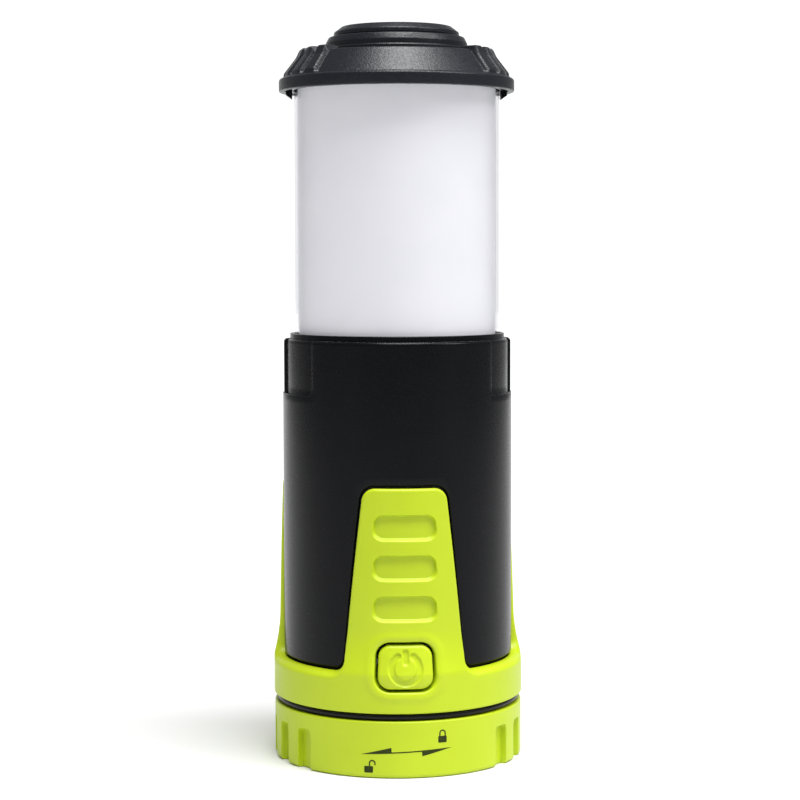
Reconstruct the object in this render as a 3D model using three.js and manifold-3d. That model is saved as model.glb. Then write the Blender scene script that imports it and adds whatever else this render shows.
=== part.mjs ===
// A pop-up camping lantern, extended for use: a battery body with a lime grip frame, a twist-off base cap,
// and a frosted diffuser under a black head that slides down into the body.
// Millimetres, +Z up, origin at the centre of the underside. The front, with the power button, faces -Y.
// Angles round the lantern are in degrees from the front, positive towards +X.
import * as THREE from 'three';
import { mergeVertices } from 'three/addons/utils/BufferGeometryUtils.js';
import Module from 'manifold-3d';

const wasm = await Module();
wasm.setup();

// ---- Driving dimensions ------------------------------------------------------------------------

const GAP = 0.3; // clearance between neighbouring pieces
const NEAR = 12; // tools that cut through the wall reach from this distance in front of the axis
const FAR = 40; // out to this one

// Heights above the underside, with the diffuser pulled out
const CAP_TOP = 14.7;
const COLLAR_BOTTOM = 16.7;
const SHOULDER_BOTTOM = 25.2;
const COLLAR_TOP = 26.7;
const FLARE_TOP = 38;
const PANEL_TOP = 74.1;
const SHELL_TOP = 111.3;
const MOUTH_TOP = 112.65;
const LIP_BOTTOM = 176.2;
const LIP_TOP = 179.6;
const CONE_TOP = 186;
const CROWN_TOP = 191.3;
const TOTAL_HEIGHT = 193.2;

// Outer radii
const CAP_RADIUS = 33;
const COLLAR_RADIUS = 33.2;
const PANEL_RADIUS_LOW = 31.6;
const PANEL_RADIUS_TOP = 31.1;
const SHELL_RADIUS = 30.45;
const DIFFUSER_RADIUS = 27.1;
const LIP_RADIUS = 31.1;
const CONE_RADIUS_LOW = 30.1;
const CONE_RADIUS_TOP = 25.2;
const CROWN_RADIUS = 18.9;
const TOP_DISC_RADIUS = 16.6;

// Body shell
const SHELL_BORE = 28;
const MOUTH_BORE = 28.8;
const FRAME_SEAT_RADIUS = 29.6; // the shell is cut back to this under the grip frame
const PANEL_COUNT = 3;
const PANEL_HALF_LOW = 15.9;
const PANEL_HALF_TOP = 10.85;
const PANEL_CORNER = 3.4;
const PANEL_FILLET = 3.8;
const FINGER_POCKET_HALF = 19.4;
const FINGER_POCKET_BOTTOM = 97;
const FINGER_POCKET_TOP = 117; // above the shell, so the pockets are open at the mouth
const FINGER_POCKET_FLOOR = 29.5;
const POCKET_RIB_HALF = 3.1;
const POCKET_RIB_RADIUS = 30.2;
const LUG_NOTCH_HALF = 1.9;
const LUG_NOTCH_BOTTOM = 110.4;
const LUG_NOTCH_RADIUS = 29.7;

// Grip recesses on the panels, from the top down
const SLOT_CENTRES = [64.4, 54.1, 43.65];
const SLOT_WIDTH = 15.9;
const SLOT_HEIGHT = 6.6;
const SLOT_DEPTH = 0.5;

// Power button
const BUTTON_HEIGHT_Z = 28.55; // height of its centre
const BUTTON_HOLE = [15.5, 12.5, 3.5]; // width, height, corner radius
const BUTTON_TRAVEL = 1;
const BUTTON_BACK = 27.4; // distance of the button's back face in front of the axis

// Base cap and bayonet
const CAP_BORE = 29.6;
const CAP_FLOOR = 3;
const GRIP_PITCHES = 21; // grip grooves would fill the circle at this count; the front ones are left out
const SMOOTH_PITCHES = 2; // pitches left smooth on each side of the front
const GRIP_GROOVE_WIDTH = 5;
const GRIP_GROOVE_FLOOR = 31.4;
const GRIP_GROOVE_TOP = 10.6;
const NECK_RADIUS = 29.2;
const SEAL_RADIUS = 32.4;
const LUG_ROOT_RADIUS = 29;
const LUG_RADIUS = 30.6;
const LUG_SLOT_RADIUS = 31;
const LUG_BOTTOM = 7.2;
const LUG_TOP = 9.4;
const LUG_SPAN = 20; // degrees
const CAP_TURN = 40; // degrees from closed to open

// Battery holder and AA cells
const CELL_RADIUS = 7.25;
const CELL_LENGTH = 50.5;
const CELL_CIRCLE = 8.9; // radius of the circle through the cells' axes
const CELL_BOTTOM = 9.9;
const CELL_ANGLES = [60, 180, 300];
const WEB_ANGLES = [0, 120, 240];
const HOLDER_RADIUS = 18.4;
const HOLDER_BOTTOM = 6.6;
const HOLDER_TOP = 67.7;
const HOLDER_BORE_TOP = 62;
const HOLDER_SCREW_CIRCLE = 24;
const FLANGE_BOTTOM = 16.5;
const FLANGE_TOP = 21;
const NECK_BOTTOM = 5.3;
const NECK_WALL = 2.4;
const CONTACT_THICKNESS = 0.4;

// Light core and diffuser
const CORE_RADIUS = 24.3;
const CORE_BORE = 22.7; // its two ends
const CORE_BORE_NARROW = 21.4; // its middle, which the heat sink rests on
const CORE_SCREW_CIRCLE = 14.8;
const CORE_BOTTOM = 37;
const CORE_TOP = 110.8;
const CORE_SHELF = 68;
const SINK_BOTTOM = 104.5;
const SINK_RADIUS = 22.4;
const SLEEVE_BORE = 24.9;
const DIFFUSER_BOTTOM = 102.3;
const DIFFUSER_TOP = 179.8;
const STOP_RING_RADIUS = 27.7;

// Facets round a full turn
const ROUND = 48;
const INNER_ROUND = 32;
const CELL_ROUND = 20;
const SMALL_ROUND = 16;
const SCREW_ROUND = 8;

// ---- Materials ---------------------------------------------------------------------------------

const material = (color, roughness, metalness = 0) =>
  new THREE.MeshStandardMaterial({ color, roughness, metalness });

const blackPlastic = material(0x1b1c20, 0.55);
const headPlastic = material(0x24272c, 0.5);
const limePlastic = material(0xb9dc2e, 0.42);
const frosted = material(0xe8e6ea, 0.6);
const clearPlastic = material(0xf4f4f6, 0.15);
const whitePlastic = material(0xeeeeea, 0.45);
const rubber = material(0x18181a, 0.8);
const steel = material(0xa9acb0, 0.35, 1);
const aluminium = material(0xc4c7cb, 0.4, 1);
const brass = material(0xc6a25a, 0.35, 1);
const circuitBoard = material(0x1f5a35, 0.5);
const ledPhosphor = material(0xf2d65a, 0.4);
const cellJacket = material(0x3d4a57, 0.35);
const redWire = material(0xa82420, 0.5);
const blackWire = material(0x161616, 0.5);

// ---- Shape helpers -----------------------------------------------------------------------------

const group = new THREE.Group();

/** A closed geometry as a solid that can be joined and cut. */
function toSolid(geometry) {
  const bare = geometry.clone();
  bare.deleteAttribute('normal');
  bare.deleteAttribute('uv');
  const merged = mergeVertices(bare, 1e-4);
  const corners = merged.index.array;
  const triangles = [];
  for (let i = 0; i < corners.length; i += 3) {
    const [a, b, c] = corners.slice(i, i + 3);
    if (a !== b && b !== c && c !== a) triangles.push(a, b, c);
  }
  return new wasm.Manifold(
    new wasm.Mesh({
      numProp: 3,
      vertProperties: new Float32Array(merged.attributes.position.array),
      triVerts: new Uint32Array(triangles),
    }),
  );
}

/** A solid back as a geometry. */
function toGeometry(solid) {
  const mesh = solid.getMesh();
  const geometry = new THREE.BufferGeometry();
  geometry.setAttribute('position', new THREE.BufferAttribute(mesh.vertProperties, 3));
  geometry.setIndex(new THREE.BufferAttribute(mesh.triVerts, 1));
  geometry.computeVertexNormals();
  return geometry;
}

const radians = (degrees) => THREE.MathUtils.degToRad(degrees);

/** The point at a radius, an angle from the front, and a height. */
function polar(radius, degrees, z) {
  const angle = radians(degrees);
  return new THREE.Vector3(radius * Math.sin(angle), -radius * Math.cos(angle), z);
}

/** A profile of [radius, z] points turned about Z. It runs up the outside and down the inside. */
function turned(profile, facets = ROUND) {
  const points = profile.map(([radius, z]) => new THREE.Vector2(radius, z));
  const onAxis = profile[0][0] === 0 && profile.at(-1)[0] === 0;
  if (!onAxis) points.push(points[0].clone());
  return new THREE.LatheGeometry(points, facets).rotateX(Math.PI / 2);
}

/** A ring with a rectangular section. */
function ring(innerRadius, outerRadius, low, high, facets = ROUND) {
  const section = [[innerRadius, low], [outerRadius, low], [outerRadius, high], [innerRadius, high]];
  return turned(section, facets);
}

/** A solid cylinder on the Z axis. */
function disc(radius, low, high, facets = ROUND) {
  return turned([[0, low], [radius, low], [radius, high], [0, high]], facets);
}

/** A box between two corners. */
function block([x0, y0, z0], [x1, y1, z1]) {
  const box = new THREE.BoxGeometry(x1 - x0, y1 - y0, z1 - z0);
  return box.translate((x0 + x1) / 2, (y0 + y1) / 2, (z0 + z1) / 2);
}

/** A rectangle with rounded corners, centred on x = 0 and y = centre. */
function roundedRectangle(width, height, corner, centre) {
  const halfWidth = width / 2;
  const low = centre - height / 2;
  const high = centre + height / 2;
  const shape = new THREE.Shape();
  shape.absarc(halfWidth - corner, low + corner, corner, -Math.PI / 2, 0);
  shape.absarc(halfWidth - corner, high - corner, corner, 0, Math.PI / 2);
  shape.absarc(corner - halfWidth, high - corner, corner, Math.PI / 2, Math.PI);
  shape.absarc(corner - halfWidth, low + corner, corner, Math.PI, Math.PI * 1.5);
  return shape;
}

/** An outline in X and Z, pushed out from y = -near to y = -far. */
function frontPrism(shape, near = NEAR, far = FAR, curveSegments = 3) {
  const options = { depth: far - near, bevelEnabled: false, curveSegments };
  return new THREE.ExtrudeGeometry(shape, options).rotateX(Math.PI / 2).translate(0, -near, 0);
}

/** A flat outline in X and Y, raised from one height to another. */
function plate(shape, low, high, curveSegments = 3) {
  const options = { depth: high - low, bevelEnabled: false, curveSegments };
  return new THREE.ExtrudeGeometry(shape, options).translate(0, 0, low);
}

/** A vertical round rod or hole at a place round the lantern. */
function post(radius, low, high, circle, degrees, facets = SMALL_ROUND) {
  const { x, y } = polar(circle, degrees, 0);
  return disc(radius, low, high, facets).translate(x, y, 0);
}

/** A solid with tools cut away. */
function cut(solid, tools) {
  return tools.reduce((rest, tool) => rest.subtract(toSolid(tool)), solid);
}

/** A solid with pieces joined on. */
function join(solid, pieces) {
  return pieces.reduce((whole, piece) => whole.add(toSolid(piece)), solid);
}

/** A round wire of the given radius along a curve. */
function wire(curve, radius, steps, sides = 6) {
  const section = new THREE.Shape();
  for (let i = 0; i < sides; i += 1) {
    const angle = (i / sides) * 2 * Math.PI;
    const point = [radius * Math.cos(angle), radius * Math.sin(angle)];
    if (i === 0) section.moveTo(...point);
    else section.lineTo(...point);
  }
  section.closePath();
  return new THREE.ExtrudeGeometry(section, { steps, extrudePath: curve, bevelEnabled: false });
}

/** A pan-head screw with its shank along +Z and its head below z = 0. */
function screw(headRadius, headHeight, shankRadius, shankLength) {
  return turned(
    [
      [0, -headHeight],
      [headRadius * 0.8, -headHeight],
      [headRadius, -headHeight * 0.6],
      [headRadius, 0],
      [shankRadius, 0],
      [shankRadius, shankLength],
      [0, shankLength],
    ],
    SCREW_ROUND,
  );
}

/** Puts a named piece in the lantern. */
function place(name, shape, finish, position = new THREE.Vector3(), rotation = [0, 0, 0]) {
  const geometry = shape instanceof THREE.BufferGeometry ? shape : toGeometry(shape);
  const mesh = new THREE.Mesh(geometry, finish);
  mesh.name = name;
  mesh.position.copy(position);
  mesh.rotation.set(...rotation);
  group.add(mesh);
}

// ---- Grip frame and body shell -----------------------------------------------------------------

/** The grip frame's outer radius at a height: near upright panels that flare out into the collar. */
function frameRadius(z) {
  if (z >= FLARE_TOP) {
    const share = (z - FLARE_TOP) / (PANEL_TOP - FLARE_TOP);
    return THREE.MathUtils.lerp(PANEL_RADIUS_LOW, PANEL_RADIUS_TOP, share);
  }
  const share = Math.min(1, (FLARE_TOP - z) / (FLARE_TOP - COLLAR_TOP));
  return PANEL_RADIUS_LOW + (COLLAR_RADIUS - PANEL_RADIUS_LOW) * share ** 1.8;
}

/** One panel's outline, widening downwards and filleted into the collar, grown all round by a margin. */
function panelOutline(margin) {
  const low = PANEL_HALF_LOW + margin;
  const top = PANEL_HALF_TOP + margin;
  const corner = PANEL_CORNER + margin;
  const fillet = PANEL_FILLET - margin;
  const ledge = COLLAR_TOP + margin;
  const high = PANEL_TOP + margin;
  const shape = new THREE.Shape();
  shape.moveTo(-low - fillet, 0);
  shape.lineTo(low + fillet, 0);
  shape.lineTo(low + fillet, ledge);
  shape.quadraticCurveTo(low + 0.1, ledge, low, ledge + fillet);
  shape.quadraticCurveTo(low - 2, (ledge + high) / 2, top, high - corner);
  shape.quadraticCurveTo(top - 0.2, high, top - corner, high);
  shape.lineTo(corner - top, high);
  shape.quadraticCurveTo(0.2 - top, high, -top, high - corner);
  shape.quadraticCurveTo(2 - low, (ledge + high) / 2, -low, ledge + fillet);
  shape.quadraticCurveTo(-low - 0.1, ledge, -low - fillet, ledge);
  return shape;
}

/** All the space that the grip frame takes up round the body: the collar and the panels. */
function frameZone(margin) {
  const panels = [];
  for (let i = 0; i < PANEL_COUNT; i += 1) {
    panels.push(frontPrism(panelOutline(margin)).rotateZ((i / PANEL_COUNT) * 2 * Math.PI));
  }
  const collar = turned([
    [0, 0],
    [FAR, 0],
    [FAR, SHOULDER_BOTTOM + margin],
    [COLLAR_RADIUS, SHOULDER_BOTTOM + margin],
    [SHELL_RADIUS + GAP, COLLAR_TOP + margin],
    [0, COLLAR_TOP + margin],
  ]);
  return join(toSolid(collar), panels);
}

/** The outer surface of the grip frame as a full solid of revolution, moved in or out by an offset. */
function frameCore(offset) {
  const flareSteps = 4;
  const footChamfer = 0.4;
  const topChamfer = 0.6;
  const profile = [
    [0, COLLAR_BOTTOM],
    [COLLAR_RADIUS + offset - footChamfer, COLLAR_BOTTOM],
    [COLLAR_RADIUS + offset, COLLAR_BOTTOM + footChamfer],
  ];
  for (let i = 0; i <= flareSteps; i += 1) {
    const z = THREE.MathUtils.lerp(COLLAR_TOP, FLARE_TOP, i / flareSteps);
    profile.push([frameRadius(z) + offset, z]);
  }
  profile.push(
    [PANEL_RADIUS_TOP + offset, PANEL_TOP - topChamfer],
    [PANEL_RADIUS_TOP + offset - topChamfer, PANEL_TOP],
    [0, PANEL_TOP],
  );
  return toSolid(turned(profile));
}

function gripFrame() {
  let solid = frameCore(0).intersect(frameZone(0));
  solid = cut(solid, [disc(FRAME_SEAT_RADIUS + GAP, 0, SHELL_TOP)]);
  const recessFloor = frameCore(-SLOT_DEPTH);
  for (let i = 0; i < PANEL_COUNT; i += 1) {
    for (const centre of SLOT_CENTRES) {
      const slot = roundedRectangle(SLOT_WIDTH, SLOT_HEIGHT, SLOT_HEIGHT / 2 - 0.01, centre);
      const tool = frontPrism(slot, NEAR, FAR, 2).rotateZ((i / PANEL_COUNT) * 2 * Math.PI);
      solid = solid.subtract(toSolid(tool).subtract(recessFloor));
    }
  }
  return cut(solid, [frontPrism(roundedRectangle(...BUTTON_HOLE, BUTTON_HEIGHT_Z))]);
}

function bodyShell() {
  const low = COLLAR_BOTTOM + GAP;
  const mouthChamfer = 1;
  let solid = toSolid(turned([
    [SHELL_BORE, low],
    [SHELL_RADIUS, low],
    [SHELL_RADIUS, SHELL_TOP - mouthChamfer],
    [SHELL_RADIUS - mouthChamfer, SHELL_TOP],
    [MOUTH_BORE, SHELL_TOP],
    [MOUTH_BORE, DIFFUSER_BOTTOM - GAP],
    [SHELL_BORE, DIFFUSER_BOTTOM - GAP],
  ]));
  solid = solid.subtract(cut(frameZone(GAP), [disc(FRAME_SEAT_RADIUS, 0, SHELL_TOP)]));

  // Two finger pockets at the mouth, each with an upright rib in the middle
  const pocket = roundedRectangle(
    FINGER_POCKET_HALF * 2,
    FINGER_POCKET_TOP - FINGER_POCKET_BOTTOM,
    2,
    (FINGER_POCKET_TOP + FINGER_POCKET_BOTTOM) / 2,
  );
  const rib = block([NEAR, -POCKET_RIB_HALF, 0], [FAR, POCKET_RIB_HALF, FINGER_POCKET_TOP]);
  for (const side of [90, -90]) {
    const turn = radians(side);
    const ribSpace = rib.clone().rotateZ(turn - Math.PI / 2);
    const pocketSpace = toSolid(frontPrism(pocket).rotateZ(turn));
    const beyondFloor = cut(pocketSpace, [disc(FINGER_POCKET_FLOOR, 0, FINGER_POCKET_TOP), ribSpace]);
    const overRib = pocketSpace.intersect(toSolid(ribSpace));
    const beyondRib = cut(overRib, [disc(POCKET_RIB_RADIUS, 0, FINGER_POCKET_TOP)]);
    solid = solid.subtract(beyondFloor).subtract(beyondRib);
  }

  // Bosses for the holder screws, inside the wall below the reach of the diffuser
  const bosses = CELL_ANGLES.map((angle) =>
    post(3.2, FLANGE_TOP + GAP, 33, HOLDER_SCREW_CIRCLE + 1.2, angle, SCREW_ROUND));
  const bossHoles = CELL_ANGLES.map((angle) =>
    post(1.7, FLANGE_TOP - 1, 30.5, HOLDER_SCREW_CIRCLE, angle, SCREW_ROUND));
  solid = cut(join(solid, bosses), bossHoles);

  const [width, height, corner] = BUTTON_HOLE;
  const window = roundedRectangle(width + 3.3, height + 2.9, corner + 0.3, BUTTON_HEIGHT_Z);
  return cut(solid, [frontPrism(window), ...lugNotches()]);
}

/** Notches at both sides of the mouth that take the head's lugs when the lantern is closed. */
function lugNotches() {
  const inner = [DIFFUSER_RADIUS - 1, -LUG_NOTCH_HALF, LUG_NOTCH_BOTTOM];
  const outer = [LUG_NOTCH_RADIUS, LUG_NOTCH_HALF, FINGER_POCKET_TOP];
  return [90, -90].map((side) => block(inner, outer).rotateZ(radians(side - 90)));
}

place('grip_frame', gripFrame(), limePlastic);
place('body_shell', bodyShell(), blackPlastic);

// ---- Mouth ring and its friction seal ----------------------------------------------------------

const FRICTION_GROOVE_BOTTOM = 106;
const FRICTION_GROOVE_TOP = 108;

/** A lining at the mouth that guides the diffuser, with a groove for the friction ring. */
function mouthRing() {
  const bore = DIFFUSER_RADIUS + GAP;
  const grooveFloor = bore + 0.75;
  const body = toSolid(turned([
    [bore, DIFFUSER_BOTTOM],
    [MOUTH_BORE - GAP, DIFFUSER_BOTTOM],
    [MOUTH_BORE - GAP, MOUTH_TOP],
    [bore, MOUTH_TOP],
    [bore, FRICTION_GROOVE_TOP],
    [grooveFloor, FRICTION_GROOVE_TOP],
    [grooveFloor, FRICTION_GROOVE_BOTTOM],
    [bore, FRICTION_GROOVE_BOTTOM],
  ]));
  return cut(body, lugNotches());
}

function frictionRing() {
  const bore = DIFFUSER_RADIUS + 0.25;
  const thickness = 0.5;
  const low = FRICTION_GROOVE_BOTTOM + GAP;
  const high = FRICTION_GROOVE_TOP - GAP;
  return ring(bore, bore + thickness, low, high, INNER_ROUND);
}

place('mouth_ring', mouthRing(), blackPlastic);
place('friction_ring', frictionRing(), rubber);

// ---- Power button and its switch ---------------------------------------------------------------

function powerButton() {
  const [width, height, corner] = BUTTON_HOLE;
  const face = roundedRectangle(width - 2 * GAP, height - 2 * GAP, corner - GAP, BUTTON_HEIGHT_Z);
  const flange = roundedRectangle(width + 2.5, height + 2.1, corner + 0.1, BUTTON_HEIGHT_Z);
  const pad = toSolid(frontPrism(face, BUTTON_BACK)).intersect(frameCore(0));
  const underFrame = toSolid(disc(FRAME_SEAT_RADIUS, 0, SHELL_TOP));
  const stop = toSolid(frontPrism(flange, BUTTON_BACK)).intersect(underFrame);
  const stem = new THREE.CylinderGeometry(2.5, 2.5, 2.2, SMALL_ROUND);
  return join(pad.add(stop), [stem.translate(0, -BUTTON_BACK + 0.1, BUTTON_HEIGHT_Z)]);
}

const SWITCH_FRONT = 24.6;
const SWITCH_BACK = 21.1;
const BOARD_BACK = 19.2;
const STEM_END = BUTTON_BACK - 1.2;

function tactSwitch() {
  const half = 3;
  const housing = block(
    [-half, -SWITCH_FRONT, BUTTON_HEIGHT_Z - half],
    [half, -SWITCH_BACK, BUTTON_HEIGHT_Z + half],
  );
  const depth = 3.3;
  const well = new THREE.CylinderGeometry(2.1, 2.1, depth, SMALL_ROUND);
  return cut(toSolid(housing), [well.translate(0, -SWITCH_FRONT + depth / 2 - 0.1, BUTTON_HEIGHT_Z)]);
}

function switchPlunger() {
  const length = STEM_END - GAP - (SWITCH_BACK + GAP + BUTTON_TRAVEL + 0.2);
  const rod = new THREE.CylinderGeometry(1.7, 1.7, length, SMALL_ROUND);
  return rod.translate(0, -(STEM_END - GAP - length / 2), BUTTON_HEIGHT_Z);
}

const SWITCH_SCREW_X = 8;

function switchBoard() {
  const board = toSolid(block([-10.5, -SWITCH_BACK + GAP, 22.3], [10.5, -BOARD_BACK, 35.3]));
  const holes = [-SWITCH_SCREW_X, SWITCH_SCREW_X].map((x) =>
    new THREE.CylinderGeometry(1.3, 1.3, 6, SCREW_ROUND).translate(x, -20, BUTTON_HEIGHT_Z));
  return cut(board, holes);
}

place('power_button', powerButton(), limePlastic);
place('switch_plunger', switchPlunger(), blackPlastic);
place('tact_switch', tactSwitch(), blackPlastic);
place('switch_board', switchBoard(), circuitBoard);
[-SWITCH_SCREW_X, SWITCH_SCREW_X].forEach((x, i) => {
  const seat = new THREE.Vector3(x, -SWITCH_BACK, BUTTON_HEIGHT_Z);
  place(`switch_screw_${i + 1}`, screw(1.9, 1.3, 0.95, 6.8), steel, seat, [-Math.PI / 2, 0, 0]);
});

// ---- Battery holder, cells and contacts --------------------------------------------------------

function batteryHolder() {
  const body = toSolid(turned([
    [0, HOLDER_BOTTOM],
    [HOLDER_RADIUS, HOLDER_BOTTOM],
    [HOLDER_RADIUS, FLANGE_BOTTOM],
    [NECK_RADIUS - NECK_WALL, FLANGE_BOTTOM],
    [NECK_RADIUS - NECK_WALL, NECK_BOTTOM],
    [NECK_RADIUS, NECK_BOTTOM],
    [NECK_RADIUS, COLLAR_BOTTOM],
    [SHELL_BORE - GAP, COLLAR_BOTTOM],
    [SHELL_BORE - GAP, FLANGE_TOP],
    [HOLDER_RADIUS, FLANGE_TOP],
    [HOLDER_RADIUS, HOLDER_TOP],
    [0, HOLDER_TOP],
  ], INNER_ROUND));
  const lugs = WEB_ANGLES.map((angle) =>
    bayonetBlock(angle - LUG_SPAN / 2, LUG_SPAN, LUG_RADIUS, LUG_BOTTOM, LUG_TOP));
  const bosses = [-SWITCH_SCREW_X, SWITCH_SCREW_X].map((x) =>
    block([x - 2.3, -BOARD_BACK + GAP, 25.5], [x + 2.3, -15, 31.6]));
  const bores = CELL_ANGLES.map((angle) =>
    post(CELL_RADIUS + GAP, 0, HOLDER_BORE_TOP, CELL_CIRCLE, angle, CELL_ROUND));
  const coreHoles = WEB_ANGLES.map((angle) =>
    post(1.5, 60.5, 80, CORE_SCREW_CIRCLE, angle, SCREW_ROUND));
  const flangeHoles = CELL_ANGLES.map((angle) =>
    post(1.7, 10, 25, HOLDER_SCREW_CIRCLE, angle, SCREW_ROUND));
  const switchHoles = [-SWITCH_SCREW_X, SWITCH_SCREW_X].map((x) =>
    new THREE.CylinderGeometry(1.25, 1.25, 8, SCREW_ROUND).translate(x, -17.8, BUTTON_HEIGHT_Z));
  return cut(join(body, [...lugs, ...bosses]), [...bores, ...coreHoles, ...flangeHoles, ...switchHoles]);
}

/** A block that follows the bayonet's circle from a start angle over a span, both in degrees. */
function bayonetBlock(start, span, outerRadius, low, high) {
  const steps = Math.ceil(span / 6);
  const shape = new THREE.Shape();
  for (let i = 0; i <= steps; i += 1) {
    const { x, y } = polar(outerRadius, start + (span * i) / steps, 0);
    if (i === 0) shape.moveTo(x, y);
    else shape.lineTo(x, y);
  }
  for (let i = steps; i >= 0; i -= 1) {
    const { x, y } = polar(LUG_ROOT_RADIUS, start + (span * i) / steps, 0);
    shape.lineTo(x, y);
  }
  return plate(shape, low, high);
}

function aaCell() {
  const shoulder = CELL_LENGTH - 1;
  const chamfer = 0.6;
  const nippleRadius = 2.7;
  return turned([
    [0, 0],
    [CELL_RADIUS, 0],
    [CELL_RADIUS, shoulder - chamfer],
    [CELL_RADIUS - chamfer, shoulder],
    [nippleRadius, shoulder],
    [nippleRadius, CELL_LENGTH],
    [0, CELL_LENGTH],
  ], CELL_ROUND);
}

/** The centre line of a contact spring, a cone that narrows upwards. */
class SpringCurve extends THREE.Curve {
  getPoint(t, target = new THREE.Vector3()) {
    const turns = 3.25;
    const height = 3;
    const radius = THREE.MathUtils.lerp(5, 2.4, t);
    const angle = t * turns * 2 * Math.PI;
    return target.set(radius * Math.cos(angle), radius * Math.sin(angle), height * t);
  }
}

const SPRING_BOTTOM = 6.2;
const TOP_CONTACT_BOTTOM = 60.75;
const TOP_CONTACT_TOP = 61.5;

place('battery_holder', batteryHolder(), blackPlastic);
CELL_ANGLES.forEach((angle, i) => {
  place(`battery_cell_${i + 1}`, aaCell(), cellJacket, polar(CELL_CIRCLE, angle, CELL_BOTTOM));
  const spring = wire(new SpringCurve(), 0.35, 26, 5);
  place(`contact_spring_${i + 1}`, spring, steel, polar(CELL_CIRCLE, angle, SPRING_BOTTOM));
  const contact = disc(5, TOP_CONTACT_BOTTOM, TOP_CONTACT_TOP, SMALL_ROUND);
  place(`top_contact_${i + 1}`, contact, brass, polar(CELL_CIRCLE, angle, 0));
});

/** A brass strip under two cells, which joins their springs. */
function bridgePlate() {
  const width = 11;
  const length = 2 * CELL_CIRCLE * Math.sin(radians(60)) + width;
  const strip = roundedRectangle(length, width, 5.4, -CELL_CIRCLE / 2);
  return plate(strip, NECK_BOTTOM, NECK_BOTTOM + CONTACT_THICKNESS);
}

/** A brass disc under the third cell. */
function endPlate() {
  return disc(5.5, NECK_BOTTOM, NECK_BOTTOM + CONTACT_THICKNESS, SMALL_ROUND);
}

const contactDisc = disc(CAP_BORE - 1, CAP_FLOOR + GAP, NECK_BOTTOM - GAP, INNER_ROUND);
place('contact_disc', contactDisc, blackPlastic);
place('bridge_plate', bridgePlate(), brass);
place('end_plate', endPlate(), brass, polar(CELL_CIRCLE, 180, 0));
CELL_ANGLES.forEach((angle, i) => {
  const seat = polar(HOLDER_SCREW_CIRCLE, angle, FLANGE_BOTTOM - GAP);
  place(`holder_screw_${i + 1}`, screw(2.6, 1.8, 1.4, 13), steel, seat);
});
place('cap_seal', ring(NECK_RADIUS + GAP, SEAL_RADIUS, CAP_TOP + GAP, COLLAR_BOTTOM - GAP), rubber);

// ---- Base cap ----------------------------------------------------------------------------------

function baseCap() {
  const recess = 25;
  const recessDepth = 0.8;
  const footChamfer = 1.2;
  const solid = toSolid(turned([
    [0, recessDepth],
    [recess, recessDepth],
    [recess + recessDepth, 0],
    [CAP_RADIUS - footChamfer, 0],
    [CAP_RADIUS, footChamfer],
    [CAP_RADIUS, CAP_TOP],
    [CAP_BORE, CAP_TOP],
    [CAP_BORE, CAP_FLOOR],
    [0, CAP_FLOOR],
  ]));
  const grooves = [];
  const grooveBottom = -10;
  const outline = roundedRectangle(
    GRIP_GROOVE_WIDTH,
    GRIP_GROOVE_TOP - grooveBottom,
    1.4,
    (GRIP_GROOVE_TOP + grooveBottom) / 2,
  );
  for (let i = SMOOTH_PITCHES + 1; i < GRIP_PITCHES - SMOOTH_PITCHES; i += 1) {
    const groove = frontPrism(outline, GRIP_GROOVE_FLOOR, FAR, 2);
    grooves.push(groove.rotateZ((i / GRIP_PITCHES) * 2 * Math.PI));
  }
  // Each lug enters from above, at the open angle, and turns along its slot to the closed angle
  const clearance = 1;
  const slots = WEB_ANGLES.flatMap((angle) => {
    const start = angle - LUG_SPAN / 2 - clearance;
    const span = LUG_SPAN + 2 * clearance;
    const [low, high] = [LUG_BOTTOM - 0.4, LUG_TOP + 0.4];
    const slot = bayonetBlock(start, span + CAP_TURN, LUG_SLOT_RADIUS, low, high);
    const entry = bayonetBlock(start + CAP_TURN, span, LUG_SLOT_RADIUS, LUG_TOP, CAP_TOP + 1);
    return [slot, entry];
  });
  return cut(solid, [...grooves, ...slots]);
}

place('base_cap', baseCap(), limePlastic);

// ---- Light core --------------------------------------------------------------------------------

const LEAD_X = 3;
const LEAD_Y = -19.8;

function coreTube() {
  const shelfTop = CORE_SHELF + 2;
  const body = toSolid(turned([
    [0, CORE_SHELF],
    [CORE_BORE, CORE_SHELF],
    [CORE_BORE, CORE_BOTTOM + 2],
    [HOLDER_RADIUS + GAP, CORE_BOTTOM + 2],
    [HOLDER_RADIUS + GAP, CORE_BOTTOM],
    [CORE_RADIUS, CORE_BOTTOM],
    [CORE_RADIUS, CORE_TOP],
    [CORE_BORE, CORE_TOP],
    [CORE_BORE, SINK_BOTTOM - GAP],
    [CORE_BORE_NARROW, SINK_BOTTOM - GAP],
    [CORE_BORE_NARROW, shelfTop],
    [0, shelfTop],
  ], INNER_ROUND));
  const screwHoles = WEB_ANGLES.map((angle) =>
    post(1.5, 60, 75, CORE_SCREW_CIRCLE, angle, SCREW_ROUND));
  const switchLeadPort = block([-LEAD_X - 1.2, LEAD_Y - 1.2, 36], [LEAD_X + 1.2, LEAD_Y + 2.2, 75]);
  return cut(body, [...screwHoles, switchLeadPort]);
}

const BOARD_SCREW_CIRCLE = 13;
const LED_CIRCLE = 8;
const LED_LEAD_X = 4;
const BOARD_SCREW_ANGLES = [60, 180, 300];

function boardScrewHoles() {
  return BOARD_SCREW_ANGLES.map((angle) =>
    post(1.3, 100, 110, BOARD_SCREW_CIRCLE, angle, SCREW_ROUND));
}

function heatSink() {
  const body = toSolid(disc(SINK_RADIUS, SINK_BOTTOM, SINK_BOTTOM + 2, INNER_ROUND));
  const leadHoles = [-1, 1].map((side) =>
    disc(1.4, 100, 110, SCREW_ROUND).translate(side * LED_LEAD_X, 0, 0));
  return cut(body, [...boardScrewHoles(), ...leadHoles]);
}

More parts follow.
